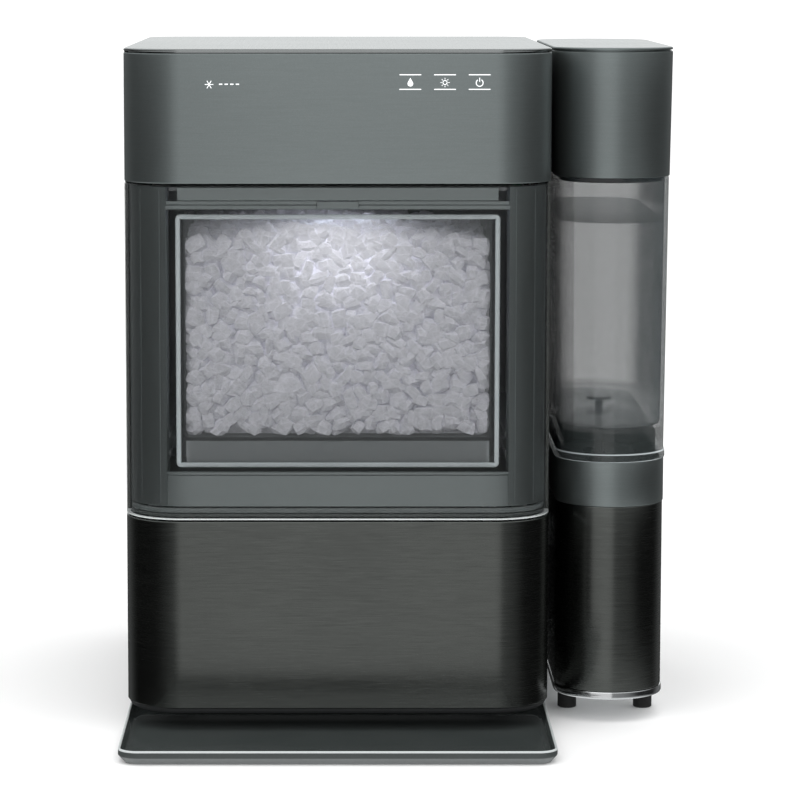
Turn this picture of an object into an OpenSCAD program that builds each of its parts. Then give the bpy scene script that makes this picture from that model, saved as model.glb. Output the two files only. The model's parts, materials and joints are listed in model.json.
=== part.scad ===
// Countertop nugget ice maker: a cabinet with a pull-out ice drawer, a loose drip tray
// and a lift-off water tank that stands on its own base at the cabinet's right side.
// Frame: +Z up, the front faces -Y, the origin lies on the table under the middle of the box.

/* [Cabinet] */
// Width of the cabinet
cab_w = 264; // [225:1:320]
// Depth of the cabinet, without the drip tray and the rear fittings
cab_d = 345; // [335:1:420]
// Height from the table to the top
cab_h = 424; // [400:1:510]
// Radius of the front corners, seen from above
corner_r = 36; // [30:1:44]
// Radius of the rear corners, seen from above
rear_r = 22; // [16:1:28]
// Thickness of the sheet-metal panels
skin = 1.6; // [1:0.1:2.4]
// Height of the rubber feet
foot_h = 12.5; // [11:0.5:16]
// Height of the base pan's edge
pan_h = 4.3; // [3:0.1:8]
// Gap between neighbouring panels
seam = 0.8; // [0.4:0.1:1.5]
// Thickness of the top panel's edge
top_t = 1.8; // [1.2:0.1:3]

/* [Front] */
// Height of the control fascia
fascia_h = 79.2; // [65:0.1:95]
// Height of the lower front panel
low_panel_h = 117.4; // [110:0.1:140]
// How far the front pieces wrap round the sides
front_reach = 42; // [40:1:50]
// Wall of the fascia and the lower panel
front_t = 2; // [1.5:0.1:3]

/* [Ice drawer] */
// Wall of the tinted drawer front
door_t = 3; // [2:0.1:4]
// Depth of the frame behind the drawer front
frame_t = 5; // [4:0.1:7]
// Width of the ice bin
bin_w = 194; // [160:1:200]
// Wall of the ice bin
bin_t = 2.2; // [1.5:0.1:3]
// Height of the ice floor above the bin's lower edge
bin_floor_up = 16; // [12:1:24]
// Wall of the ice compartment
liner_t = 2; // [1.5:0.1:3]

/* [Drip tray] */
// How far the tray stands out in front of the cabinet
tray_reach = 82; // [60:1:110]
// How far the tray goes in under the cabinet
tray_under = 66; // [40:1:70]
// Height of the tray's rim
tray_h = 8.8; // [6:0.1:10]
// Floor and rim thickness of the tray
tray_t = 2.4; // [1.8:0.1:3]

/* [Side tank] */
// Half width of the tank's cap at its top
cap_r = 37.4; // [33:0.1:45]
// How much the cap narrows towards its lower edge
cap_draft = 1.2; // [0:0.1:2]
// Distance between the centres of the tank's two round ends
tank_span = 178; // [120:1:190]
// Front end's centre behind the cabinet's front plane
tank_y = 67; // [55:1:80]
// Wall of the clear tank
tank_t = 2.6; // [2:0.1:3.5]
// Height of the cap
cap_h = 80.5; // [60:0.5:95]
// Height of the tank's base without its collar
base_h = 118; // [100:1:130]
// Height of the collar round the tank's foot
collar_h = 28; // [24:1:34]
// Free gap between the cabinet and the cap
tank_gap = 2.6; // [1.5:0.1:6]

/* [Ice engine] */
// Radius of the auger's flights
auger_r = 16; // [12:0.5:18]
// Running gap between the auger and its barrel
auger_gap = 0.6; // [0.4:0.1:1]
// Wall of the freezing barrel
barrel_t = 2.9; // [2:0.1:4]
// Rise of one turn of the auger
auger_pitch = 28; // [20:1:34]
// Radius of the evaporator tube
coil_r = 2.8; // [2:0.1:3.2]
// Wall of the foam round the evaporator
foam_t = 14; // [8:1:16]
// Gear module
gear_m = 1.1; // [0.9:0.05:1.2]
// Teeth on the auger's gear
gear_teeth = 54; // [48:2:58]
// Teeth on the motor's pinion
pinion_teeth = 18; // [16:2:20]
// Radius of the compressor's shell
comp_r = 46; // [38:1:48]
// Height of the compressor's shell
comp_h = 132; // [110:1:140]
// Radius of the fan's blades
fan_r = 45; // [36:1:47]

/* [Hidden] */
$fn = 64;
fit = 0.3;          // free gap between pieces that slide or nest
touch = 0.05;       // gap between pieces that are fastened together

// Heights of the cabinet's pieces
z_pan = foot_h + pan_h;
z_low = z_pan + low_panel_h;
z_door0 = z_low + seam;
z_top = cab_h - top_t;
z_fascia1 = z_top - seam;
z_fascia0 = z_fascia1 - fascia_h;
z_door1 = z_fascia0 - seam;
// Inside of the cabinet
half_in = cab_w / 2 - skin;
rear_gap = 0.3;
y_rear = cab_d - 2 * skin - rear_gap;
mech_d = 126;       // depth kept for the ice engine behind the compartment
rear_reach = 17;    // how far the rear fittings stand out
rear_open = cab_w - 2 * rear_r - 12;
// Feet under the cabinet
foot_r = 11;
foot_stem_r = 3;
foot_x = cab_w / 2 - 30;
foot_y0 = tray_under + foot_r + 12;
foot_y1 = cab_d - 36;
// Ice compartment and drawer
door_y = door_t + touch;
frame_y = door_y + frame_t;
bin_y0 = frame_y + touch;
seal_d = 4;
liner_y0 = frame_y + seal_d + fit;
liner_y1 = y_rear - mech_d;
liner_z0 = z_door0 + 7;
liner_z1 = z_door1 - 2;
liner_x = bin_w / 2 + 18;
bin_y1 = liner_y1 - liner_t - 8;
bin_z0 = z_door0 + 32;
bin_z1 = z_door1 - 18.5;
bin_edge = 3;       // how far the bin's front plate stands out past its sides
window_x = bin_w / 2 + 12;
window_z0 = bin_z0 - 4.5;
rail_bar_z = bin_z1 + 4;
rail_bar_x = bin_w / 2 + 1;
runner_h = 7.4;
runner_z = bin_z0 + bin_floor_up / 2 + 2;
runner_z1 = runner_z + runner_h;
runner_x = liner_x - liner_t - 4.5;
light_y = liner_y0 + 50;
// Ice engine
barrel_r = auger_r + auger_gap;
barrel_out = barrel_r + barrel_t;
coil_mid = barrel_out + coil_r + 0.6;
foam_in = coil_mid + coil_r + 0.4;
foam_out = foam_in + foam_t;
auger_x = -(half_in - 10 - foam_out);
auger_y = y_rear - 10 - foam_out;
gear_pitch_r = gear_m * gear_teeth / 2;
pinion_pitch_r = gear_m * pinion_teeth / 2;
pinion_x = auger_x + gear_pitch_r + pinion_pitch_r;
box_wall = 3;
box_r = gear_pitch_r + gear_m + 1.5 + box_wall;
motor_r = 20;
motor_z = z_pan + 3;
motor_h = 54;
spindle_r = 3;
spindle_l = 14;
box_z = motor_z + motor_h + touch;
box_h = 25;
cover_t = 4;
cover_z = box_z + box_h + touch;
gear_z = box_z + box_wall + 3;
gear_t = 12;
shaft_r = 6;
run_gap = 0.05;     // radial running gap of a shaft in its bush
bush_r = 10;
barrel_z = cover_z + cover_t + touch;
head_z = liner_z1 - 54;
head_h = 24;
head_r = barrel_out + 4.5;
journal_r = 5;
ice_hole_off = 12;
ice_hole_r = 4;
foam_z0 = barrel_z + 14;
foam_z1 = head_z - 5;
inlet_z = barrel_z + 7;
chute_r = head_r + 2;
chute_t = 2;
chute_z = liner_z1 + touch;
chute_h = 42;
drop_y0 = liner_y1 - 50;
drop_y1 = liner_y1 - 14;
// Refrigeration
comp_x = half_in - 8 - comp_r;
comp_y = y_rear - 12 - comp_r;
comp_z = z_pan + 9;
grommet_r = 6;
grommet_neck = 3;
grommet_off = comp_r - 8;
dome_r = 18;
tube_r = 3.2;
tube_rise = 24;
cond_w = 104;
bend_reach = tube_rise / 2 + tube_r + 4;
cond_x = half_in - 2 - bend_reach - cond_w / 2;
cond_t = 30;
cond_y = y_rear - 4 - cond_t;
cond_z0 = comp_z + comp_h + 24;
cond_z1 = z_top - 34;
tube_rows = 2 * floor((cond_z1 - cond_z0 - 20) / tube_rise / 2);
fin_t = 0.6;
fin_pitch = 4.2;
fan_z = (cond_z0 + cond_z1) / 2;
fan_y = cond_y - 10;
shroud_t = 3;
fan_hub_r = 15;
fan_hub_l = 13;
fan_motor_r = 17;
fan_shaft_r = 2.5;
// Water system
pump_r = 19;
pump_x = half_in - 22 - pump_r;
pump_y = 92;
pump_top = z_pan + 62;
res_x0 = -(half_in - 18);
res_x1 = pump_x - pump_r - 14;
res_y0 = front_reach + 2;
res_y1 = liner_y1 - 10;
res_z0 = z_pan + 4;
res_z1 = liner_z0 - 12;
res_t = 2.5;
float_x = res_x0 + 24;
float_y = res_y0 + 26;
float_r = 14;
guide_r = 3;
hose_r = 4;
drain_z = res_z0 + 10;
drain_x = [res_x1 - 60, res_x1 - 42];
spout_r = 6;
plug_r = 8.5;
gland_x = -(rear_open / 2 - 22);
gland_z = z_pan + 24;
gland_bore = 3.8;
gland_flange = 9;
gland_out = 14;
gland_in = 8;
// Side tank
tank_x = cab_w / 2 + tank_gap + cap_r;
cap_low_r = cap_r - cap_draft;
tank_top_r = cap_low_r - 0.5;
tank_low_r = tank_top_r - 1.6;
tank_z0 = foot_h + 2.5 + base_h + collar_h + 5 + 3.4;
tank_z1 = cab_h - cap_h;
base_r = tank_low_r - 0.3;
base_t = 1.5;
ring_z = foot_h + 2.5;
ring_h = 5;
base_z0 = ring_z + ring_h;
collar_z0 = base_z0 + base_h + touch;
collar_r = base_r + 0.5;
collar_t = 2.4;
collar_z1 = collar_z0 + collar_h;
lip_z0 = collar_z1 + touch;
lip_z1 = lip_z0 + 5;
tank_floor = lip_z1 + 15.5;
tank_floor_t = 3;
skirt_r = collar_r - collar_t - fit;
deck_z = collar_z0 + 4;
deck_t = 3;
mid_tank_y = tank_y + tank_span / 2;
valve_r = 8;
valve_lift = 4;
stem_r = 2.5;
post_top = deck_z + deck_t + 7;
link_z = [base_z0 + 38, base_z0 + 58];
link_x = rear_open / 2 - 12;
link_r = 4.5;
link_out = 12;
bracket_z0 = base_z0 + 30;
bracket_w = 80;
bracket_h = 50;
// Whole machine
over_x0 = -cab_w / 2;
over_x1 = tank_x + cap_r;
mid_x = (over_x0 + over_x1) / 2;
mid_y = (cab_d + rear_reach - tray_reach) / 2;

// ---------------------------------------------------------------- shared shapes

// Moves a piece from the cabinet's own frame to the machine's frame
module place() translate([-mid_x, -mid_y, 0]) children();

// The cabinet's outline seen from above, drawn in by inset
module cab_plan(inset) {
  hw = cab_w / 2 - inset;
  rf = corner_r - inset;
  rr = rear_r - inset;
  y1 = cab_d - inset;
  translate([-hw, inset + rf]) square([2 * hw, y1 - inset - rf - rr]);
  translate([-hw + rf, inset]) square([2 * (hw - rf), cab_d / 2]);
  translate([-hw + rr, cab_d / 2]) square([2 * (hw - rr), y1 - cab_d / 2]);
  for (s = [-1, 1]) {
    translate([s * (hw - rf), inset + rf]) circle(rf);
    translate([s * (hw - rr), y1 - rr]) circle(rr);
  }
}

// A shell that follows the cabinet's front and wraps round both front corners
module front_shell(t, z0, z1)
  translate([0, 0, z0]) linear_extrude(z1 - z0) difference() {
    cab_plan(0);
    cab_plan(t);
    translate([-cab_w, front_reach]) square([2 * cab_w, cab_d]);
  }

// An upright prism with two round ends along Y, from radius r0 below to r1 above
module stadium(r0, r1, z0, z1, span = tank_span) translate([tank_x, tank_y, z0]) {
  for (y = [0, span]) translate([0, y, 0]) cylinder(r1 = r0, r2 = r1, h = z1 - z0);
  translate([0, span, 0]) rotate([90, 0, 0]) linear_extrude(span)
    polygon([[-r0, 0], [r0, 0], [r1, z1 - z0], [-r1, z1 - z0]]);
}

module box(x0, x1, y0, y1, z0, z1) translate([x0, y0, z0]) cube([x1 - x0, y1 - y0, z1 - z0]);

// Cylinders along Z, Y and X
module rod(x, y, z0, z1, r) translate([x, y, z0]) cylinder(r = r, h = z1 - z0);
module rod_y(x, z, y0, y1, r) translate([x, y1, z]) rotate([90, 0, 0]) cylinder(r = r, h = y1 - y0);
module rod_x(y, z, x0, x1, r) translate([x0, y, z]) rotate([0, 90, 0]) cylinder(r = r, h = x1 - x0);

// ---------------------------------------------------------------- swept tubes

function unit(v) = v / norm(v);
function tangent(p, i) = unit(p[min(i + 1, len(p) - 1)] - p[max(i - 1, 0)]);
// Points of the arc of radius r that rounds the corner b between a and c
function corner_arc(a, b, c, r, n) =
  let (u = unit(a - b), v = unit(c - b), half = acos(u * v) / 2,
       centre = b + unit(u + v) * r / sin(half), side = -unit(u + v), along = unit(v - u))
  [for (k = [0:n]) let (t = (90 - half) * (2 * k / n - 1)) centre + r * (side * cos(t) + along * sin(t))];
function route(p, r, n = 4) = concat([p[0]],
  [for (i = [1:len(p) - 2]) each corner_arc(p[i - 1], p[i], p[i + 1], r, n)], [p[len(p) - 1]]);
function side_of(t) = unit(cross(t, abs(t[2]) < 0.9 ? [0, 0, 1] : [1, 0, 0]));
function normals(p, found, i = 1) = i == len(p) ? found :
  let (t = tangent(p, i), n = found[i - 1]) normals(p, concat(found, [unit(n - (n * t) * t)]), i + 1);
function helix(r, rise, turns, steps) =
  [for (k = [0:turns * steps]) [r * cos(360 * k / steps), r * sin(360 * k / steps), rise * k / steps]];

// A round tube or wire of radius r along the points p
module sweep(p, r, sides = 8) {
  n = normals(p, [side_of(tangent(p, 0))]);
  last = (len(p) - 1) * sides;
  polyhedron(
    points = [for (i = [0:len(p) - 1]) for (k = [0:sides - 1])
      p[i] + r * (cos(360 * k / sides) * n[i] + sin(360 * k / sides) * cross(tangent(p, i), n[i]))],
    faces = concat([[for (k = [0:sides - 1]) k]], [[for (k = [sides - 1:-1:0]) last + k]],
      [for (i = [0:len(p) - 2]) for (k = [0:sides - 1])
        let (a = i * sides + k, b = i * sides + (k + 1) % sides)
          each [[a, a + sides, b + sides], [a, b + sides, b]]]));
}

// ---------------------------------------------------------------- gears

pressure = 20;
gear_play = 0.3;
function roll(a) = tan(a) * 180 / PI - a;
// Half the angle that a tooth takes at radius r
function half_tooth(n, r) = let (rp = gear_m * n / 2, rb = rp * cos(pressure))
  90 / n - gear_play / (4 * rp) * 180 / PI + roll(pressure) - roll(acos(min(1, rb / r)));
function tooth(n) = let (rp = gear_m * n / 2, rb = rp * cos(pressure), ra = rp + 0.95 * gear_m,
    rf = rp - 1.3 * gear_m, low = max(rb, rf), steps = 4, edge = half_tooth(n, low))
  concat([[rf, -edge]], [for (k = [0:steps]) let (r = low + (ra - low) * k / steps) [r, -half_tooth(n, r)]],
    [for (k = [steps:-1:0]) let (r = low + (ra - low) * k / steps) [r, half_tooth(n, r)]], [[rf, edge]]);
function gear_outline(n, turn) =
  [for (i = [0:n - 1]) for (q = tooth(n))
    let (a = q[1] + 360 * i / n + turn) [q[0] * cos(a), q[0] * sin(a)]];

// ---------------------------------------------------------------- cabinet

module base_pan() place() color("dimgray") difference() {
  translate([0, 0, foot_h]) linear_extrude(pan_h) cab_plan(1.2);
  for (s = [-1, 1], y = [foot_y0, foot_y1]) rod(s * foot_x, y, foot_h - 1, z_pan + 1, foot_stem_r + touch);
}

module cabinet_feet() place() color("black")
  for (s = [-1, 1], y = [foot_y0, foot_y1]) {
    rod(s * foot_x, y, 0, foot_h, foot_r);
    rod(s * foot_x, y, foot_h, z_pan, foot_stem_r);
  }

screw_x = rear_open / 2 + 4.5;
screw_z = [z_pan + 20, (z_pan + z_top) / 2, z_top - 20];
screw_r = 1.5;
// A side that turns the rear corner, where it takes the rear panel's screws
module side_panel(s) difference() {
  translate([0, 0, z_pan]) linear_extrude(z_top - z_pan) difference() {
    cab_plan(0);
    cab_plan(skin);
    translate([-cab_w, -1]) square([2 * cab_w, front_reach + seam + 1]);
    translate([-rear_open / 2, -1]) square([rear_open, cab_d + 2]);
    translate([s > 0 ? -cab_w : 0, -1]) square([cab_w, cab_d + 2]);
  }
  for (z = screw_z) rod_y(s * screw_x, z, y_rear, cab_d + 1, screw_r + touch);
}
module side_panel_left() place() color([0.16, 0.17, 0.17]) side_panel(-1);
module side_panel_right() place() color([0.16, 0.17, 0.17]) side_panel(1);

vent_x = rear_open / 2 - 24;
vent_pitch = 9;
vent_l = 26;
vent_h = 4;
// A louvred vent that faces the condenser, with the holes for screws and fittings
module rear_panel() place() color([0.2, 0.21, 0.21]) difference() {
  box(-rear_open / 2 - 9, rear_open / 2 + 9, y_rear, y_rear + skin, z_pan + touch, z_top - touch);
  for (z = [cond_z0:vent_pitch:cond_z1], c = [1:3])
    translate([vent_x - c * (vent_l + 8), y_rear - 1, z]) cube([vent_l, skin + 2, vent_h]);
  for (s = [-1, 1], z = screw_z) rod_y(s * screw_x, z, y_rear - 1, cab_d, screw_r + touch);
  for (x = drain_x) rod_y(x, drain_z, y_rear - 1, cab_d, spout_r + touch);
  for (z = link_z) rod_y(link_x, z, y_rear - 1, cab_d, link_r + touch);
  rod_y(gland_x, gland_z, y_rear - 1, cab_d, gland_flange - 2);
}
module rear_screws() place() color("silver") for (s = [-1, 1], z = screw_z) {
  rod_y(s * screw_x, z, cab_d + touch, cab_d + 2, 3.4);
  rod_y(s * screw_x, z, y_rear - 4, cab_d + touch, screw_r);
}

module top_panel() place() color([0.75, 0.76, 0.76]) {
  translate([0, 0, z_top]) linear_extrude(top_t) cab_plan(0);
  translate([0, 0, z_top - 6]) linear_extrude(6) difference() {
    cab_plan(front_t + 0.8);
    cab_plan(front_t + 2.8);
    translate([-rear_open / 2 - 12, cab_d / 2]) square([rear_open + 24, cab_d]);
  }
}
module control_fascia() place() color([0.36, 0.39, 0.39]) front_shell(front_t, z_fascia0, z_fascia1);
module lower_front_panel() place() color([0.22, 0.22, 0.21]) front_shell(front_t, z_pan, z_low);

// Two side stands that carry the ice compartment over the reservoir
stand_x = half_in - 13;
stand_t = 2;
stand_foot = 9;
module support_frame() place() color("gray") for (s = [0, 1]) mirror([s, 0, 0]) {
  box(stand_x, stand_x + stand_t, res_y0 + 8, res_y1, z_pan + touch, liner_z0 - touch);
  box(stand_x, stand_x + stand_foot, res_y0 + 8, res_y1, z_pan + touch, z_pan + stand_t);
}

// Box round the ice bin, open at the front, with the drain below and the drop hole above
module compartment_liner() place() color([0.3, 0.32, 0.33]) difference() {
  box(-liner_x, liner_x, liner_y0, liner_y1, liner_z0, liner_z1);
  box(-liner_x + liner_t, liner_x - liner_t, liner_y0 - 1, liner_y1 - liner_t,
    liner_z0 + liner_t, liner_z1 - liner_t);
  box(auger_x - 24, auger_x + 24, drop_y0, drop_y1, liner_z1 - liner_t - 1, liner_z1 + 1);
  rod(res_x0 + 60, (liner_y0 + liner_y1) / 2, liner_z0 - 1, liner_z0 + liner_t + 1, 12);
}
module drawer_rails() place() color("gray") for (s = [0, 1]) mirror([s, 0, 0])
  difference() {
    box(runner_x - 5, liner_x - liner_t - touch, liner_y0 + 2, bin_y1, runner_z - 4, runner_z1 + 4);
    box(runner_x - 6, runner_x + fit, liner_y0 + 1, bin_y1 + 1, runner_z - fit, runner_z1 + fit);
  }
module bin_light_lens() place() color("white")
  box(-22, 22, light_y, light_y + 20, liner_z1 - liner_t - 3, liner_z1 - liner_t - touch);

// ---------------------------------------------------------------- controls

board_y = 6;
key_x = [44, 65, 86];
key_z = z_fascia1 - 17.5;
module display_board() place() color("darkgreen") {
  box(-92, 96, board_y, board_y + 1.6, z_fascia0 + 30, z_fascia1 - 6);
  for (x = [-40:20:20]) box(x, x + 9, board_y + 1.6, board_y + 4, key_z - 12, key_z - 4);
  box(50, 78, board_y + 1.6, board_y + 9, key_z - 24, key_z - 14);
}
pad_r = 6.5;
module touch_pads() place() color("gold")
  for (x = key_x) rod_y(x, key_z, front_t + touch, board_y - touch, pad_r);
module status_light_guide() place() color("white")
  box(-86, -56, front_t + touch, board_y - touch, key_z - 4, key_z + 4);
power_z = liner_z1 + 9;
module power_board() place() color("darkgreen") {
  x0 = auger_x + chute_r + 12;
  box(x0, half_in - 12, liner_y0 + 20, liner_y1 - 10, power_z, power_z + 1.6);
  for (x = [x0 + 8, half_in - 20], y = [liner_y0 + 28, liner_y1 - 18])
    rod(x, y, liner_z1 + touch, power_z, 3);
  rod(x0 + 34, liner_y0 + 50, power_z + 1.6, power_z + 30, 11);
  box(x0 + 60, x0 + 96, liner_y0 + 40, liner_y0 + 78, power_z + 1.6, power_z + 26);
  box(x0 + 20, x0 + 62, liner_y0 + 96, liner_y0 + 120, power_z + 1.6, power_z + 18);
}

// ---------------------------------------------------------------- water system

module reservoir() place() color([0.8, 0.85, 0.9]) difference() {
  box(res_x0, res_x1, res_y0, res_y1, res_z0, res_z1);
  box(res_x0 + res_t, res_x1 - res_t, res_y0 + res_t, res_y1 - res_t, res_z0 + res_t, res_z1 + 1);
  for (x = drain_x) rod_y(x, drain_z, res_y1 - res_t - 1, res_y1 + 1, hose_r - 1.5);
  rod_x(pump_y, drain_z, res_x1 - res_t - 1, res_x1 + 1, 3);
}
module float_guide() place() color("white") {
  rod(float_x, float_y, res_z0 + res_t + touch, res_z1 - 8, guide_r);
  box(float_x - 6, float_x + 6, res_y0 + res_t + touch, float_y + 6, res_z1 - 8, res_z1 - 5);
}
module level_float() place() color("orange") difference() {
  rod(float_x, float_y, res_z0 + 40, res_z0 + 55, float_r);
  rod(float_x, float_y, res_z0 + 39, res_z0 + 56, guide_r + 0.4);
}
module water_pump() place() color("dimgray") {
  rod(pump_x, pump_y, z_pan + touch, z_pan + 12, pump_r + 3);
  rod(pump_x, pump_y, z_pan + 12, z_pan + 52, pump_r);
  rod_x(pump_y, drain_z, res_x1 + touch, pump_x, 5);
  rod(pump_x + 8, pump_y, z_pan + 52, pump_top, hose_r - 1);
}
feed_y = liner_y1 + 10;
feed_z = liner_z0 - 8;
inlet_reach = barrel_out + 8;
module water_feed_hose() place() color("lightblue") sweep(route([
  [pump_x + 8, pump_y, pump_top + touch], [pump_x + 8, pump_y, feed_z], [pump_x + 8, feed_y, feed_z],
  [auger_x, feed_y, feed_z], [auger_x, feed_y, inlet_z],
  [auger_x, auger_y - inlet_reach - touch, inlet_z]], 9), hose_r);
module drain_hoses() place() color("lightblue") for (x = drain_x) difference() {
  rod_y(x, drain_z, res_y1 + touch, y_rear - 8 - touch, hose_r + 1);
  rod_y(x, drain_z, res_y1 - 1, y_rear, hose_r - 1.2);
}
module drain_spouts() place() color("black") for (x = drain_x) difference() {
  union() {
    rod_y(x, drain_z, y_rear - 8, cab_d + 8, spout_r);
    rod_y(x, drain_z, y_rear - 4, y_rear - touch, spout_r + 3);
  }
  rod_y(x, drain_z, y_rear - 9, cab_d + 9, hose_r - 1);
}
module drain_plug(x) difference() {
  union() {
    rod_y(x, drain_z, cab_d + 2, cab_d + 14, plug_r);
    box(x - 2, x + 2, cab_d + 13, cab_d + rear_reach, drain_z - plug_r + 2, drain_z + plug_r - 2);
  }
  rod_y(x, drain_z, cab_d + 1, cab_d + 8 + fit, spout_r + fit / 2);
}
module drain_plug_left() place() color("gray") drain_plug(drain_x[0]);
module drain_plug_right() place() color("gray") drain_plug(drain_x[1]);

// ---------------------------------------------------------------- ice engine

module gear_motor() place() color("silver") {
  difference() {
    rod(pinion_x, auger_y, motor_z, motor_z + motor_h, motor_r);
    rod(pinion_x, auger_y, motor_z + motor_h - spindle_l, motor_z + motor_h + 1, spindle_r + run_gap);
  }
  rod(pinion_x, auger_y, z_pan + touch, motor_z, motor_r - 6);
}
module motor_pinion() place() color("goldenrod") {
  translate([pinion_x, auger_y, gear_z - 1]) linear_extrude(gear_t + 2)
    polygon(gear_outline(pinion_teeth, 180 / pinion_teeth));
  rod(pinion_x, auger_y, motor_z + motor_h - spindle_l + 1, gear_z - 1, spindle_r);
}
module gearbox_outline(r) {
  for (x = [auger_x, pinion_x]) translate([x, auger_y]) circle(r);
  translate([auger_x, auger_y - r]) square([pinion_x - auger_x, 2 * r]);
}
leg_r = 4;
module gearbox_housing() place() color("darkgray") {
  difference() {
    translate([0, 0, box_z]) linear_extrude(box_h) gearbox_outline(box_r);
    translate([0, 0, box_z + box_wall]) linear_extrude(box_h) gearbox_outline(box_r - box_wall);
    rod(pinion_x, auger_y, box_z - 1, box_z + box_wall + 1, spindle_r + 2);
  }
  for (a = [100, 180, 260]) translate([auger_x, auger_y, 0]) rotate([0, 0, a])
    rod(box_r - leg_r - 1, 0, z_pan + touch, box_z, leg_r);
}
module gearbox_cover() place() color("darkgray") difference() {
  translate([0, 0, cover_z]) linear_extrude(cover_t) gearbox_outline(box_r);
  rod(auger_x, auger_y, cover_z - 1, cover_z + cover_t + 1, bush_r + touch);
}
module auger_bush() place() color("goldenrod") difference() {
  rod(auger_x, auger_y, cover_z - 3, cover_z + cover_t, bush_r);
  rod(auger_x, auger_y, cover_z - 4, cover_z + cover_t + 1, shaft_r + run_gap);
}
screw_z0 = barrel_z + 5;
screw_z1 = head_z - 1;
// The auger: a drive shaft, a flighted middle and a journal for the extruder head
module auger_screw() place() color("silver") translate([auger_x, auger_y, 0]) {
  rod(0, 0, gear_z - 1, screw_z0, shaft_r);
  turns = (screw_z1 - screw_z0) / auger_pitch;
  translate([0, 0, screw_z0])
    linear_extrude(screw_z1 - screw_z0, twist = -360 * turns, slices = round(14 * turns), segments = 1) {
      circle(auger_r - 6, $fn = 14);
      for (a = [0, 180]) rotate(a) polygon([[0, -3], [auger_r, -1.3], [auger_r, 1.3], [0, 3]]);
    }
  rod(0, 0, screw_z1, head_z + head_h - 4, journal_r);
}
module auger_gear() place() color("goldenrod") translate([auger_x, auger_y, gear_z]) difference() {
  linear_extrude(gear_t) polygon(gear_outline(gear_teeth, 0));
  translate([0, 0, -1]) cylinder(r = shaft_r + touch, h = gear_t + 2);
}
module freezing_barrel() place() color("silver") difference() {
  union() {
    rod(auger_x, auger_y, barrel_z, head_z - touch, barrel_out);
    rod(auger_x, auger_y, barrel_z, barrel_z + 3, barrel_out + 7);
    rod_y(auger_x, inlet_z, auger_y - inlet_reach, auger_y, 3.5);
  }
  rod(auger_x, auger_y, barrel_z - 1, head_z + 1, barrel_r);
}
coil_rise = 12;
coil_turns = floor((foam_z1 - foam_z0 - 16) / coil_rise);
coil_low = foam_z0 + 8;
coil_top = coil_low + coil_rise * coil_turns;
coil_side = auger_x + coil_mid + coil_r + touch;
module evaporator_coil() place() color("chocolate") translate([auger_x, auger_y, coil_low])
  sweep(helix(coil_mid, coil_rise, coil_turns, 16), coil_r, 6);
module barrel_foam() place() color("lightyellow") difference() {
  rod(auger_x, auger_y, foam_z0, foam_z1, foam_out);
  rod(auger_x, auger_y, foam_z0 - 1, foam_z1 + 1, foam_in);
  for (z = [coil_low, coil_top]) rod_x(auger_y, z, auger_x, auger_x + foam_out + 1, line_r + 0.2);
}
module extruder_head() place() color("gray") difference() {
  rod(auger_x, auger_y, head_z, head_z + head_h, head_r);
  rod(auger_x, auger_y, head_z - 1, head_z + head_h + 1, journal_r + run_gap);
  for (a = [0:45:315]) translate([auger_x, auger_y, head_z - 1]) rotate([0, 0, a])
    translate([ice_hole_off, 0, 0]) cylinder(r = ice_hole_r, h = head_h + 2);
}
// Hood that carries the ice from the extruder over the compartment's rear wall to the drop hole
module ice_chute() place() color([0.85, 0.87, 0.88]) {
  in_r = chute_r - chute_t;
  top = chute_z + chute_h;
  difference() {
    union() {
      box(auger_x - chute_r, auger_x + chute_r, auger_y - chute_r, auger_y + chute_r,
        head_z + head_h + touch, top);
      box(auger_x - chute_r, auger_x + chute_r, drop_y0 - chute_t, auger_y, chute_z, top);
    }
    box(auger_x - in_r, auger_x + in_r, auger_y - in_r, auger_y + in_r, head_z + head_h - 1, top - chute_t);
    box(auger_x - in_r, auger_x + in_r, drop_y0, auger_y, chute_z + chute_t, top - chute_t);
    box(auger_x - in_r, auger_x + in_r, drop_y0, drop_y1, chute_z - 1, chute_z + chute_t + 1);
  }
}

// ---------------------------------------------------------------- refrigeration

// Places what stands at the four corners of the compressor's base plate
module at_grommets() for (x = [-1, 1], y = [-1, 1])
  translate([comp_x + x * grommet_off, comp_y + y * grommet_off, 0]) children();
plate_z = comp_z - 3;
plate_t = 4;
module compressor() place() color([0.1, 0.1, 0.1]) {
  translate([comp_x, comp_y, comp_z]) rotate_extrude() {
    square([comp_r - dome_r, comp_h]);
    translate([0, dome_r]) square([comp_r, comp_h - 2 * dome_r]);
    for (z = [dome_r, comp_h - dome_r]) translate([comp_r - dome_r, z]) circle(dome_r);
  }
  difference() {
    box(comp_x - comp_r, comp_x + comp_r, comp_y - comp_r, comp_y + comp_r, plate_z, plate_z + plate_t);
    at_grommets() rod(0, 0, plate_z - 1, plate_z + plate_t + 1, grommet_neck + 0.2);
  }
}
module compressor_grommets() place() color("black") at_grommets() {
  rod(0, 0, z_pan + touch, plate_z - touch, grommet_r);
  rod(0, 0, plate_z - touch, plate_z + plate_t + 3, grommet_neck);
}
tube_y = cond_y + cond_t / 2;
tube_z0 = (cond_z0 + cond_z1 - (tube_rows - 1) * tube_rise) / 2;
tube_z1 = tube_z0 + (tube_rows - 1) * tube_rise;
tube_reach = cond_w / 2 + 2;
module condenser_fins() place() color("silver")
  for (x = [cond_x - cond_w / 2 : fin_pitch : cond_x + cond_w / 2 - fin_t])
    translate([x, cond_y, cond_z0]) rotate([90, 0, 90]) linear_extrude(fin_t) difference() {
      square([cond_t, cond_z1 - cond_z0]);
      for (z = [tube_z0:tube_rise:tube_z1 + 1]) translate([cond_t / 2, z - cond_z0]) circle(tube_r + 0.1);
    }
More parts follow.
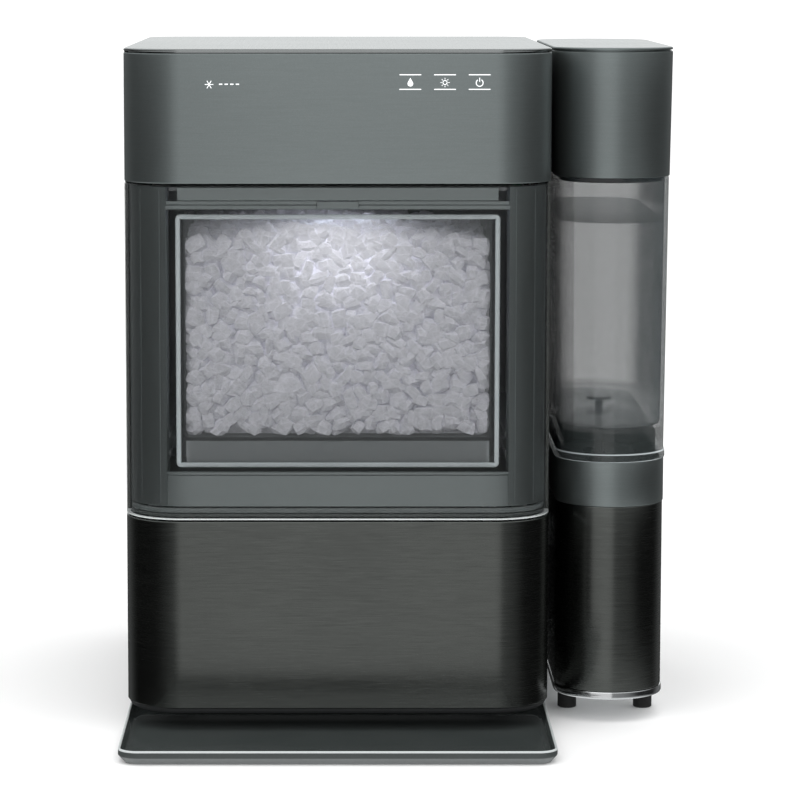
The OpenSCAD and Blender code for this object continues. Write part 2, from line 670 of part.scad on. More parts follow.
// One tube that runs through the fins and turns back at each side
module condenser_coil() place() color("chocolate") {
  for (k = [0:tube_rows - 1])
    rod_x(tube_y, tube_z0 + k * tube_rise, cond_x - tube_reach, cond_x + tube_reach, tube_r);
  for (k = [0:tube_rows - 2]) let (s = k % 2 == 0 ? -1 : 1)
    translate([cond_x + s * tube_reach, tube_y, tube_z0 + (k + 0.5) * tube_rise]) rotate([90, 0, 0])
      rotate([0, 0, -90 * s]) rotate_extrude(angle = 180) translate([tube_rise / 2, 0]) circle(tube_r);
}
shroud_y = fan_y + 5;
shroud_r = fan_r + 3;
arm_w = 3.6;
// Duct plate with a round collar and the three arms that carry the motor
module fan_shroud() place() color("black") {
  difference() {
    union() {
      box(cond_x - cond_w / 2, cond_x + cond_w / 2, shroud_y, shroud_y + shroud_t,
        fan_z - cond_w / 2, fan_z + cond_w / 2);
      rod_y(cond_x, fan_z, fan_y - 18, shroud_y + 1, shroud_r + 2);
    }
    rod_y(cond_x, fan_z, fan_y - 19, shroud_y + shroud_t + 1, shroud_r);
  }
  for (a = [30, 150, 270]) translate([cond_x, fan_y - 15.5, fan_z]) rotate([0, a, 0])
    translate([fan_motor_r + touch, -arm_w / 2, -arm_w / 2]) cube([shroud_r + 1 - fan_motor_r, arm_w, arm_w]);
}
module fan_motor() place() color("dimgray") difference() {
  rod_y(cond_x, fan_z, fan_y - 36, fan_y - 13, fan_motor_r);
  rod_y(cond_x, fan_z, fan_y - 30, fan_y - 12, fan_shaft_r + run_gap);
}
fan_blades = 7;
blade_chord = 18;
blade_t = 2;
hub_y = fan_y - 9;
module fan_rotor() place() color("dimgray") {
  rod_y(cond_x, fan_z, hub_y, hub_y + fan_hub_l, fan_hub_r);
  rod_y(cond_x, fan_z, fan_y - 29, hub_y + 1, fan_shaft_r);
  for (k = [0:fan_blades - 1])
    translate([cond_x, hub_y + fan_hub_l / 2, fan_z]) rotate([0, k * 360 / fan_blades, 0])
      translate([fan_hub_r - 1.5, 0, 0]) rotate([32, 0, 0])
        translate([0, -blade_t / 2, -blade_chord / 2]) cube([fan_r - fan_hub_r, blade_t, blade_chord]);
}
line_r = 2.4;
dryer_r = 8;
dryer_x = (comp_x - comp_r + auger_x + foam_out) / 2;
dryer_y = cond_y - 16;
dryer_z = [coil_top + 60, coil_top + 130];
over_z = cond_z1 + 10;
turn_x = cond_x + tube_reach + 9;
comp_top = comp_z + comp_h;
suction_x = comp_x - sqrt(comp_r * comp_r - (comp_y - auger_y) * (comp_y - auger_y));
// Discharge line, liquid line with its filter dryer, and the suction line back to the compressor
module refrigerant_lines() place() color("chocolate") {
  rod(dryer_x, dryer_y, dryer_z[0], dryer_z[1], dryer_r);
  sweep(route([[comp_x, comp_y, comp_top + touch], [comp_x, comp_y, comp_top + 12],
    [turn_x, comp_y, comp_top + 12], [turn_x, tube_y, comp_top + 12], [turn_x, tube_y, tube_z0],
    [cond_x + tube_reach + touch, tube_y, tube_z0]], 6), line_r);
  sweep(route([[cond_x + tube_reach + touch, tube_y, tube_z1], [turn_x, tube_y, tube_z1],
    [turn_x, tube_y, over_z], [dryer_x, tube_y, over_z], [dryer_x, dryer_y, over_z],
    [dryer_x, dryer_y, dryer_z[1] - 1]], 6), line_r);
  sweep(route([[dryer_x, dryer_y, dryer_z[0] + 1], [dryer_x, dryer_y, dryer_z[0] - 30],
    [dryer_x, auger_y + 14, dryer_z[0] - 30], [dryer_x, auger_y + 14, coil_top],
    [dryer_x, auger_y, coil_top], [coil_side, auger_y, coil_top]], 5), line_r);
  rod_x(auger_y, coil_low, coil_side, suction_x - 0.3, line_r);
}
module cord_gland() place() color("black") difference() {
  union() {
    rod_y(gland_x, gland_z, y_rear - gland_in, cab_d + gland_out, gland_flange - 2 - touch);
    rod_y(gland_x, gland_z, y_rear + skin + touch, cab_d + 3, gland_flange);
    rod_y(gland_x, gland_z, y_rear - 4, y_rear - touch, gland_flange);
  }
  rod_y(gland_x, gland_z, y_rear - gland_in - 1, cab_d + gland_out + 1, gland_bore);
}

// ---------------------------------------------------------------- ice drawer

module drawer_front() place() color([0.25, 0.3, 0.3, 0.6]) front_shell(door_t, z_door0, z_door1);
// Frame behind the drawer front, with the window and a T-shaped top for the rail
module drawer_frame() place() color([0.3, 0.33, 0.33]) {
  difference() {
    translate([0, 0, z_door0 + 1]) linear_extrude(z_door1 - z_door0 - 2) difference() {
      cab_plan(door_y);
      translate([-cab_w, frame_y]) square([2 * cab_w, cab_d]);
    }
    box(-window_x, window_x, 0, frame_y + 1, window_z0, rail_bar_z);
    box(-rail_bar_x, rail_bar_x, 0, frame_y + 1, rail_bar_z - 1, z_door1);
  }
  translate([0, 0, liner_z0 - 1]) linear_extrude(liner_z1 - liner_z0 + 2) intersection() {
    cab_plan(door_y);
    for (s = [-1, 1]) translate([s * (liner_x - 1.5) - 2.5, frame_y]) square([5, seal_d]);
  }
  for (z = [liner_z0 - 1, liner_z1 - 4])
    box(-liner_x + 4, liner_x - 4, frame_y, frame_y + seal_d, z, z + 5);
}
module drawer_top_rail() place() color([0.4, 0.43, 0.43]) {
  box(-rail_bar_x + touch, rail_bar_x - touch, door_y + 2 * touch, frame_y, rail_bar_z + 5, z_door1 - 1);
  box(-rail_bar_x + touch, rail_bar_x - touch, door_y + 2, frame_y, rail_bar_z, rail_bar_z + 5);
  box(-13, 13, door_y + 2 * touch, door_y + 2, rail_bar_z + 0.5, rail_bar_z + 4);
}
// Clear bin: front plate, tub, ice floor with melt-water slots, and a runner at each side
module ice_bin() place() color([0.85, 0.9, 0.92, 0.4]) {
  hx = bin_w / 2;
  floor_z = bin_z0 + bin_floor_up;
  difference() {
    union() {
      box(-hx - bin_edge, hx + bin_edge, bin_y0, bin_y0 + bin_t, bin_z0, bin_z1);
      box(-hx, hx, bin_y0, bin_y1, bin_z0, bin_z1);
    }
    box(-hx + bin_t, hx - bin_t, bin_y0 + bin_t, bin_y1 - bin_t, floor_z + bin_t, bin_z1 + 1);
    box(-hx + bin_t, hx - bin_t, bin_y0 + bin_t, bin_y1 - bin_t, bin_z0 - 1, floor_z);
    for (x = [-60:30:60]) box(x - 2, x + 2, bin_y0 + 30, bin_y1 - 30, floor_z - 1, floor_z + bin_t + 1);
  }
  for (s = [0, 1]) mirror([s, 0, 0]) box(hx, runner_x, liner_y0 + 8, bin_y1 - 2, runner_z, runner_z1);
}

// ---------------------------------------------------------------- drip tray

tray_r = 12;
module tray_plan(inset) {
  hx = cab_w / 2 - inset;
  r = tray_r - inset;
  y0 = -tray_reach + inset;
  y1 = tray_under - inset;
  translate([-hx, y0 + r]) square([2 * hx, y1 - y0 - r]);
  translate([-hx + r, y0]) square([2 * (hx - r), 2 * tray_r]);
  for (s = [-1, 1]) translate([s * (hx - r), y0 + r]) circle(r);
}
module drip_tray() place() color([0.13, 0.15, 0.15]) difference() {
  union() {
    linear_extrude(1.6) tray_plan(3.5);
    translate([0, 0, 1.6]) linear_extrude(tray_h - 1.6) tray_plan(0);
  }
  translate([0, 0, tray_t]) linear_extrude(tray_h) tray_plan(tray_t);
}

// ---------------------------------------------------------------- side tank

base_foot_x = base_r - base_t - 8;
base_back = tank_y + tank_span + base_r;
module tank_base_shell() place() color([0.1, 0.11, 0.11]) {
  difference() {
    stadium(base_r, base_r, base_z0, base_z0 + base_h);
    stadium(base_r - base_t, base_r - base_t, base_z0 - 1, base_z0 + base_h + 1);
    for (z = link_z) rod_y(tank_x, z, base_back - 6, base_back + 6, link_r + 0.2);
  }
  box(cab_w / 2 + touch, tank_x - base_r + 0.5, mid_tank_y - bracket_w / 2, mid_tank_y + bracket_w / 2,
    bracket_z0, bracket_z0 + bracket_h);
}
// Bottom plate with its bright edge ring and four rubber feet
module tank_base_floor() place() color("silver") {
  stadium(base_r + 0.6, base_r + 0.6, ring_z, base_z0 - touch);
  for (s = [-1, 1], y = [tank_y + 17, tank_y + tank_span - 17])
    rod(tank_x + s * base_foot_x, y, 0, ring_z, 6);
}
module tank_collar() place() color([0.36, 0.39, 0.39]) difference() {
  union() {
    difference() {
      stadium(collar_r, collar_r, collar_z0, collar_z1);
      stadium(collar_r - collar_t, collar_r - collar_t, collar_z0 - 1, collar_z1 + 1);
    }
    stadium(collar_r - collar_t, collar_r - collar_t, deck_z, deck_z + deck_t);
    rod(tank_x, mid_tank_y, deck_z, post_top, 2);
  }
  for (y = [mid_tank_y - 22, mid_tank_y + 22]) rod(tank_x, y, deck_z - 1, deck_z + deck_t + 1, 5);
}
// Clear tank: skirt that nests in the collar, resting lip, tapered wall and floor with the valve hole
module water_tank() place() color([0.6, 0.66, 0.67, 0.4]) difference() {
  union() {
    stadium(skirt_r, skirt_r, deck_z + deck_t + 1, lip_z0);
    stadium(collar_r + 0.6, collar_r + 0.6, lip_z0, lip_z1);
    stadium(tank_low_r, tank_top_r, lip_z1, tank_z1);
  }
  stadium(skirt_r - tank_t, skirt_r - tank_t, deck_z + deck_t, tank_floor - tank_floor_t);
  stadium(tank_low_r - tank_t, tank_top_r - tank_t, tank_floor, tank_z1 + 0.01);
  rod(tank_x, mid_tank_y, tank_floor - tank_floor_t - 1, tank_floor + 1, valve_r - 2);
}
seal_t = 2;
poppet_z = tank_floor + valve_lift;
// Poppet of the tank's valve, held open by the collar's post
module tank_valve() place() color("white") {
  rod(tank_x, mid_tank_y, post_top + touch, poppet_z, stem_r);
  rod(tank_x, mid_tank_y, poppet_z, poppet_z + seal_t, valve_r);
  rod(tank_x, mid_tank_y, post_top + 2, post_top + 4, stem_r + 2);
}
cap_t = 2.2;
module tank_cap() place() color([0.36, 0.39, 0.39]) difference() {
  union() {
    stadium(cap_low_r, cap_r, tank_z1 + touch, z_fascia1);
    stadium(cap_r - seam, cap_r - seam, z_fascia1, z_top);
    stadium(cap_r, cap_r, z_top, cab_h);
  }
  stadium(cap_low_r - cap_t, cap_r - cap_t, tank_z1, cab_h - cap_t);
}
stopper_drop = 3;
// Stopper inside the cap that seals the tank's mouth
module cap_seal() place() color([0.1, 0.1, 0.1]) {
  r = tank_top_r - tank_t - fit;
  stadium(cap_low_r - cap_t - touch, cap_low_r - cap_t - touch, tank_z1 + touch, tank_z1 + 4);
  difference() {
    stadium(r - 0.4, r - 0.4, tank_z1 - stopper_drop, tank_z1 + touch);
    stadium(r - 3, r - 3, tank_z1 - stopper_drop - 1, tank_z1 - 1);
  }
}
module tank_link_hoses() place() color("gray") for (z = link_z) sweep(route([
  [link_x, y_rear - 6, z], [link_x, cab_d + link_out, z], [tank_x, cab_d + link_out, z],
  [tank_x, base_back - 4, z]], 9), link_r, 12);

base_pan();
cabinet_feet();
side_panel_left();
side_panel_right();
rear_panel();
rear_screws();
top_panel();
control_fascia();
lower_front_panel();
support_frame();
compartment_liner();
drawer_rails();
bin_light_lens();
display_board();
touch_pads();
status_light_guide();
power_board();
reservoir();
float_guide();
level_float();
water_pump();
water_feed_hose();
drain_hoses();
drain_spouts();
drain_plug_left();
drain_plug_right();
gear_motor();
motor_pinion();
gearbox_housing();
gearbox_cover();
auger_bush();
auger_screw();
auger_gear();
freezing_barrel();
evaporator_coil();
barrel_foam();
extruder_head();
ice_chute();
compressor();
compressor_grommets();
condenser_fins();
condenser_coil();
fan_shroud();
fan_motor();
fan_rotor();
refrigerant_lines();
cord_gland();
tank_link_hoses();
drawer_front();
drawer_frame();
drawer_top_rail();
ice_bin();
drip_tray();
tank_base_shell();
tank_base_floor();
tank_collar();
water_tank();
tank_valve();
tank_cap();
cap_seal();
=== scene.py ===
"""Finished look of a countertop nugget ice maker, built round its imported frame."""

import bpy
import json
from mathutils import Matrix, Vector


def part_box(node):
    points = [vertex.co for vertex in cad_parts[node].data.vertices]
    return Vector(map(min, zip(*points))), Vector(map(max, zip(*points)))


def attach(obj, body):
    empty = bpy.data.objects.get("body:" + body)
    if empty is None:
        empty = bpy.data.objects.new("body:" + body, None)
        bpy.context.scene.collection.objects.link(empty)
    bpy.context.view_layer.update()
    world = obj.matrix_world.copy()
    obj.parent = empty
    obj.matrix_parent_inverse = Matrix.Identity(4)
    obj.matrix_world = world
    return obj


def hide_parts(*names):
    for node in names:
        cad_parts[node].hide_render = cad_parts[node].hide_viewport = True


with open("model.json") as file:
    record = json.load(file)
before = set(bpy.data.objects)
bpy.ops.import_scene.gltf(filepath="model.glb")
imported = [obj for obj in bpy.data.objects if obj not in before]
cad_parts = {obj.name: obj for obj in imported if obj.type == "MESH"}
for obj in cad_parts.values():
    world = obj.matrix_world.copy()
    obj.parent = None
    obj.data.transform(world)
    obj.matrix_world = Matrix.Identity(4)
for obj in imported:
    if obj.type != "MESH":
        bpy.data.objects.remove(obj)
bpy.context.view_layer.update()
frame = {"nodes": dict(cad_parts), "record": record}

import json
import math

import bmesh
import bpy
from bpy.props import FloatProperty, FloatVectorProperty, IntProperty, PointerProperty
from mathutils import Euler, Vector

bl_info = {
    "name": "Nugget ice maker",
    "version": (1, 0, 0),
    "blender": (4, 5, 0),
    "location": "3D View > Sidebar > Ice maker",
    "description": "Builds the finished look of a countertop nugget ice maker round its frame",
    "category": "Object",
}

# ------------------------------------------------------------------ places, from the frame

MM = 0.001
# Everything is drawn in millimetres in the cabinet's own frame: x from its middle, y back from its front.
FRONT_LOW, FRONT_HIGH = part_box("control_fascia")
CAB_X = (FRONT_LOW.x + FRONT_HIGH.x) / 2
FRONT_Y = FRONT_LOW.y
HALF_W = (FRONT_HIGH.x - FRONT_LOW.x) / 2 / MM
REACH = (FRONT_HIGH.y - FRONT_LOW.y) / MM


def span(node):
    """Lowest and highest corner of a CAD node in the cabinet's own millimetres."""
    low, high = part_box(node)
    return [Vector(((p.x - CAB_X) / MM, (p.y - FRONT_Y) / MM, p.z / MM)) for p in (low, high)]


def to_frame(p):
    """A place in the cabinet's own millimetres as one in the frame's metres."""
    return Vector((p[0] * MM + CAB_X, p[1] * MM + FRONT_Y, p[2] * MM))


FASCIA, TOP, LOW_PANEL = span("control_fascia"), span("top_panel"), span("lower_front_panel")
DOOR, RAIL, BIN = span("drawer_front"), span("drawer_top_rail"), span("ice_bin")
SIDE, REAR, PAN, TRAY = span("side_panel_left"), span("rear_panel"), span("base_pan"), span("drip_tray")
CAP, COLLAR, SEAL = span("tank_cap"), span("tank_collar"), span("cap_seal")
SHELL, RING = span("tank_base_shell"), span("tank_base_floor")
CAB_D = TOP[1].y
TANK_X = (RING[0].x + RING[1].x) / 2
TANK_HALF = (RING[1].x - RING[0].x) / 2
TANK_Y0 = RING[0].y + TANK_HALF
TANK_Y1 = RING[1].y - TANK_HALF
TANK_MID = (TANK_Y0 + TANK_Y1) / 2

# Thickness of the sheet and moulded walls
FRONT_SHEET, SIDE_SHEET, DOOR_WALL, BIN_WALL, TANK_WALL = 2.0, 1.6, 3.0, 2.2, 2.6
# Window in the drawer's front: half its width, its sill and its head
WINDOW_HALF, WINDOW_LOW, WINDOW_HIGH = 106.0, 164.6, 326.2
# Clear bin: half its width, its front face and the underside of its ice floor
BIN_HALF, BIN_FRONT, BIN_FLOOR = 97.0, 9.0, BIN[0].z + 16
# What the ice keeps clear of the bin's walls
ICE_GAP = 0.2
# Middles of the three touch marks and of the status sign on the fascia
TOUCH_X, TOUCH_Z = (44, 65, 86), 403.8
STATUS_X, STATUS_Z = -78, 402.6
# Radii of the side tank's pieces, over its base, collar, lip and cap
BASE_R, COLLAR_R, CAP_LOW_R, CAP_R = 33.8, 34.3, 36.2, 37.4


# ------------------------------------------------------------------ settings

def colour(name, text, value):
    return FloatVectorProperty(name=name, description=text, default=value, subtype="COLOR", min=0, max=1)


def length(name, text, value):
    return FloatProperty(name=name, description=text, default=value * MM, min=0, precision=4, unit="LENGTH")


class IceMakerFinish(bpy.types.PropertyGroup):
    """Colours of the visible surfaces."""
    slate: colour("Slate", "Satin slate paint of the fascia, the collar and the cap", (0.235, 0.262, 0.262))
    stainless: colour("Black stainless", "Brushed black stainless steel", (0.112, 0.117, 0.111))
    cover: colour("Top cover", "Sheet of the top cover", (0.3, 0.31, 0.31))
    smoke: colour("Smoke", "Tint of the drawer front", (0.36, 0.4, 0.4))
    tank: colour("Tank tint", "Tint of the water tank", (0.5, 0.64, 0.68))
    ice: colour("Ice", "Body colour of the ice", (0.86, 0.86, 0.93))
    lamp: colour("Lamp", "Colour of the light over the ice", (0.8, 0.88, 1.0))


class IceMakerSizes(bpy.types.PropertyGroup):
    """Sizes of what the finished look adds, given here in millimetres."""
    corner: length("Front corner", "Radius of the cabinet's front corners", 36.0)
    rear: length("Rear corner", "Radius of the cabinet's rear corners", 22.0)
    round: length("Edge round", "Radius of the sheet edges", 0.9)
    nugget: length("Nugget", "Size of one ice nugget", 11.5)
    heap: length("Ice level", "Height of the ice at the bin's front", 313.0)
    water: length("Water level", "Height of the water in the side tank", 315.6)
    seed: IntProperty(name="Seed", description="Seed of the ice nuggets", default=7, min=0)


def finish():
    return bpy.context.scene.ice_maker_finish


def size(key):
    """One size of the panel, in millimetres."""
    return round(getattr(bpy.context.scene.ice_maker_sizes, key) / MM, 3)


# ------------------------------------------------------------------ outlines and solids

def arc(cx, cy, r, start, end, steps=10):
    """Points of an arc, both ends included; angles in degrees."""
    turn = [math.radians(start + (end - start) * k / steps) for k in range(steps + 1)]
    return [(cx + r * math.cos(a), cy + r * math.sin(a)) for a in turn]


def front_wrap(inset, reach=REACH):
    """Open path round the cabinet's front, from the left side to the right side."""
    r = size("corner")
    left = [(-HALF_W + inset, reach)] + arc(-HALF_W + r, r, r - inset, 180, 270, 14)
    return left + [(-x, y) for x, y in reversed(left)]


def wrap_between(inset, x0, x1):
    """The part of the front path whose plan lies between x0 and x1, from left to right."""
    r = size("corner")

    def at(x):
        over = max(0.0, abs(x) - (HALF_W - r))
        return x, r - math.sqrt(max(0.0, (r - inset) ** 2 - over ** 2))
    return [at(x0 + (x1 - x0) * k / 24) for k in range(25)]


def side_wrap(side, inset):
    """Open path along one side and round the rear corner."""
    r = size("rear")
    corner = arc(HALF_W - r, CAB_D - r, r - inset, 0, 90, 10)
    lap = (REAR[1].x - 9, CAB_D - inset)
    return [(side * x, y) for x, y in [(HALF_W - inset, SIDE[0].y)] + corner + [lap]]


def cabinet_plan(inset):
    """Closed outline of the whole cabinet."""
    rf, rr = size("corner"), size("rear")
    hw, d = HALF_W, CAB_D
    return (arc(-hw + rf, rf, rf - inset, 180, 270, 14) + arc(hw - rf, rf, rf - inset, 270, 360, 14)
            + arc(hw - rr, d - rr, rr - inset, 0, 90, 10) + arc(-hw + rr, d - rr, rr - inset, 90, 180, 10))


def stadium(r, steps=24):
    """Closed outline of the side tank, with half width r."""
    return (arc(TANK_X, TANK_Y1, r, 0, 180, steps) + arc(TANK_X, TANK_Y0, r, 180, 360, steps))


def box_plan(x0, x1, y0, y1, r, inset=0.0, steps=6):
    """Closed outline of a rectangle with round corners."""
    x0, x1, y0, y1 = x0 + inset, x1 - inset, y0 + inset, y1 - inset
    r = max(r - inset, 0.02)
    return (arc(x1 - r, y1 - r, r, 0, 90, steps) + arc(x0 + r, y1 - r, r, 90, 180, steps)
            + arc(x0 + r, y0 + r, r, 180, 270, steps) + arc(x1 - r, y0 + r, r, 270, 360, steps))


def rounded(depth, z0, z1, r, steps=4):
    """Closed wall section (inset, height) with round edges."""
    r = min(r, depth / 2 - 0.01, (z1 - z0) / 2 - 0.01)
    return (arc(r, z0 + r, r, 180, 270, steps) + arc(depth - r, z0 + r, r, 270, 360, steps)
            + arc(depth - r, z1 - r, r, 0, 90, steps) + arc(r, z1 - r, r, 90, 180, steps))


def bridge(bm, first, second, closed):
    """Four-sided faces between two rows of vertices, and round to their starts if the rows are closed."""
    count = len(first)
    for k in range(count if closed else count - 1):
        a, b = first[k], first[(k + 1) % count]
        c, d = second[(k + 1) % count], second[k]
        bm.faces.new((a, b, c, d))


def add_wall(bm, path_at, section, closed_path):
    """Solid wall: a closed section of (inset, height) carried along an outline."""
    rings = [[bm.verts.new((x, y, z)) for x, y in path_at(inset)] for inset, z in section]
    for k in range(len(rings)):
        bridge(bm, rings[k], rings[(k + 1) % len(rings)], closed_path)
    if not closed_path:
        bm.faces.new([ring[0] for ring in rings])
        bm.faces.new([ring[-1] for ring in reversed(rings)])


def add_stack(bm, layers):
    """Solid made of stacked closed outlines: layers of (outline, height), capped at both ends."""
    rings = [[bm.verts.new((x, y, z)) for x, y in outline] for outline, z in layers]
    for k in range(len(rings) - 1):
        bridge(bm, rings[k], rings[k + 1], True)
    bm.faces.new(list(reversed(rings[0])))
    bm.faces.new(rings[-1])


def add_box(bm, x0, x1, y0, y1, z0, z1, r=0.3):
    """Box with its edges rounded."""
    made = bmesh.ops.create_cube(bm, size=1.0)["verts"]
    scale = Vector((x1 - x0, y1 - y0, z1 - z0))
    centre = Vector((x0 + x1, y0 + y1, z0 + z1)) / 2
    for v in made:
        v.co = Vector((v.co.x * scale.x, v.co.y * scale.y, v.co.z * scale.z)) + centre
    if r > 0:
        edges = list({e for v in made for e in v.link_edges})
        r = min(r, min(scale) * 0.45)
        bmesh.ops.bevel(bm, geom=edges, offset=r, segments=3, profile=0.5, affect="EDGES")


def add_turned(bm, centre, axis, section, steps=48):
    """Solid of revolution: section of (radius, place along the axis), about X, Y or Z through centre."""
    turned = {"X": lambda a, b, t: (t, a, b), "Y": lambda a, b, t: (b, t, a), "Z": lambda a, b, t: (a, b, t)}
    rings = []
    for r, t in section:
        ring = []
        for k in range(steps):
            turn = 2 * math.pi * k / steps
            place = Vector(turned[axis](r * math.cos(turn), r * math.sin(turn), t)) + Vector(centre)
            ring.append(bm.verts.new(place))
        rings.append(ring)
    for k in range(len(rings) - 1):
        bridge(bm, rings[k], rings[k + 1], True)
    bm.faces.new(list(reversed(rings[0])))
    bm.faces.new(rings[-1])


def add_tube(bm, points, r, steps=16):
    """Tube with round section along points."""
    pts = [Vector(p) for p in points]
    rings = []
    tangent = (pts[1] - pts[0]).normalized()
    side = tangent.orthogonal().normalized()
    for k, p in enumerate(pts):
        ahead = pts[min(k + 1, len(pts) - 1)] - pts[max(k - 1, 0)]
        tangent = ahead.normalized()
        side = (side - side.dot(tangent) * tangent).normalized()
        other = tangent.cross(side)
        ring = []
        for j in range(steps):
            turn = 2 * math.pi * j / steps
            ring.append(bm.verts.new(p + r * (math.cos(turn) * side + math.sin(turn) * other)))
        rings.append(ring)
    for k in range(len(rings) - 1):
        bridge(bm, rings[k], rings[k + 1], True)
    bm.faces.new(list(reversed(rings[0])))
    bm.faces.new(rings[-1])


def rounded_route(points, r, steps=8):
    """A polyline with its corners rounded by arcs of radius r."""
    pts = [Vector(p) for p in points]
    out = [pts[0]]
    for before, corner, after in zip(pts, pts[1:], pts[2:]):
        u, v = (before - corner).normalized(), (after - corner).normalized()
        half = math.acos(max(-1, min(1, u.dot(v)))) / 2
        centre = corner + (u + v).normalized() * r / math.sin(half)
        side, along = -(u + v).normalized(), (v - u).normalized()
        for k in range(steps + 1):
            t = (math.pi / 2 - half) * (2 * k / steps - 1)
            out.append(centre + r * (side * math.cos(t) + along * math.sin(t)))
    return out + [pts[-1]]


def plain_mesh(name, bm):
    """Millimetre geometry as a mesh in the frame's metres."""
    for v in bm.verts:
        v.co = to_frame(v.co)
    mesh = bpy.data.meshes.new(name)
    bm.to_mesh(mesh)
    bm.free()
    return mesh


def make_piece(name, bm, finish_name, body, replaces=(), degrees=32):
    """Turns millimetre geometry into a finished piece that rides on a body."""
    bmesh.ops.remove_doubles(bm, verts=bm.verts, dist=1e-4)
    bmesh.ops.recalc_face_normals(bm, faces=bm.faces)
    mesh = plain_mesh(name, bm)
    mesh.polygons.foreach_set("use_smooth", [True] * len(mesh.polygons))
    mesh.set_sharp_from_angle(angle=math.radians(degrees))
    mesh.materials.append(material(finish_name))
    piece = bpy.data.objects.new(name, mesh)
    bpy.context.scene.collection.objects.link(piece)
    return settle(piece, body, replaces)


def settle(piece, body, replaces=()):
    """Parents a piece to the empty of the body it rides on, and hides the nodes that it stands for."""
    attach(piece, body)
    if replaces:
        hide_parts(*replaces)
    return piece


# ------------------------------------------------------------------ materials

class Wiring:
    """Adds nodes to a tree, each with its sockets linked or set as it is made."""

    def __init__(self, tree):
        self.nodes, self.links = tree.nodes, tree.links

    def feed(self, socket, value):
        if isinstance(value, bpy.types.NodeSocket):
            self.links.new(value, socket)
        else:
            socket.default_value = value

    def add(self, kind, settings=None, **sockets):
        node = self.nodes.new(kind)
        for key, value in (settings or {}).items():
            setattr(node, key, value)
        for key, value in sockets.items():
            self.feed(node.inputs[key.replace("_", " ")], value)
        return node

    def math(self, kind, a, b=0.0):
        node = self.add("ShaderNodeMath", {"operation": kind})
        self.feed(node.inputs[0], a)
        self.feed(node.inputs[1], b)
        return node.outputs[0]

    def vector(self, kind, a, b=(0.0, 0.0, 0.0)):
        node = self.add("ShaderNodeVectorMath", {"operation": kind})
        self.feed(node.inputs[0], a)
        self.feed(node.inputs[1], b)
        return node

    def span(self, value, low, high, start=0.3, end=0.7, curve="LINEAR"):
        """Carries a value from start..end to low..high, and holds it at both ends."""
        node = self.add("ShaderNodeMapRange", {"interpolation_type": curve}, Value=value)
        for key, number in (("From Min", start), ("From Max", end), ("To Min", low), ("To Max", high)):
            node.inputs[key].default_value = number
        return node.outputs["Result"]


class Shader(Wiring):
    """A node material, wired step by step onto its surface."""

    def __init__(self, name):
        self.material = bpy.data.materials.new(name)
        self.material.use_nodes = True
        super().__init__(self.material.node_tree)
        self.nodes.clear()
        self.surface = self.add("ShaderNodeBsdfPrincipled")
        self.add("ShaderNodeOutputMaterial", Surface=self.surface.outputs[0])
        self.place = self.add("ShaderNodeTexCoord").outputs

    def set(self, **values):
        for key, value in values.items():
            self.surface.inputs[key.replace("_", " ")].default_value = value
        return self

    def link(self, output, key):
        self.links.new(output, self.surface.inputs[key])

    def stretched(self, stretch, shift=(0, 0, 0)):
        """The piece's own coordinates in metres, stretched and then shifted."""
        mapping = self.add("ShaderNodeMapping", Vector=self.place["Object"], Scale=stretch, Location=shift)
        return mapping.outputs[0]

    def noise(self, scale, detail=3.0, rough=0.55, stretch=(1, 1, 1)):
        where = self.stretched(stretch)
        node = self.add("ShaderNodeTexNoise", Vector=where, Scale=scale, Detail=detail, Roughness=rough)
        return node.outputs["Fac"]

    def cells(self, scale, stretch=(1, 1, 1), feature="F1"):
        where = self.stretched(stretch)
        node = self.add("ShaderNodeTexVoronoi", {"feature": feature}, Vector=where, Scale=scale)
        return node.outputs["Distance"]

    def edges(self, scale, stretch=(1, 1, 1)):
        """Distance to the edge of the nearest cell."""
        return self.cells(scale, stretch, "DISTANCE_TO_EDGE")

    def upward(self):
        """How far the surface faces up, from 0 to 1."""
        height = self.add("ShaderNodeSeparateXYZ", Vector=self.place["Normal"]).outputs["Z"]
        return self.span(height, 0.0, 1.0, -1.0, 1.0)

    def falloff(self, point, rate):
        """1 at a point of the cabinet, falling off like a bell; rate is per metre along each axis."""
        where = self.stretched(rate, [-c * k for c, k in zip(to_frame(point), rate)])
        far = self.vector("LENGTH", where).outputs["Value"]
        bell = 0.37
        return self.math("POWER", bell, self.math("MULTIPLY", far, far))

    def blend(self, a, share_a, b, share_b):
        return self.math("ADD", self.math("MULTIPLY", a, share_a), self.math("MULTIPLY", b, share_b))

    def tint(self, value, dark, light, start=0.3, end=0.7):
        ramp = self.add("ShaderNodeValToRGB", Fac=value)
        for stop, place, rgb in zip(ramp.color_ramp.elements, (start, end), (dark, light)):
            stop.position = place
            stop.color = (*rgb, 1)
        return ramp.outputs["Color"]

    def bump(self, height, strength, distance):
        node = self.add("ShaderNodeBump", Strength=strength, Distance=distance, Height=height)
        self.link(node.outputs["Normal"], "Normal")


def scaled(rgb, factor):
    """A colour made lighter or darker, and never past white."""
    return tuple(min(1.0, c * factor) for c in rgb)


made_finishes = {}


def material(name):
    """Each finish is made once, by what FINISHES names for it."""
    if name not in made_finishes:
        made_finishes[name] = FINISHES[name](name)
    return made_finishes[name]


def add_finishes(piece, *names):
    """Further finishes, for the faces of a piece that don't have its first one."""
    for name in names:
        piece.data.materials.append(material(name))


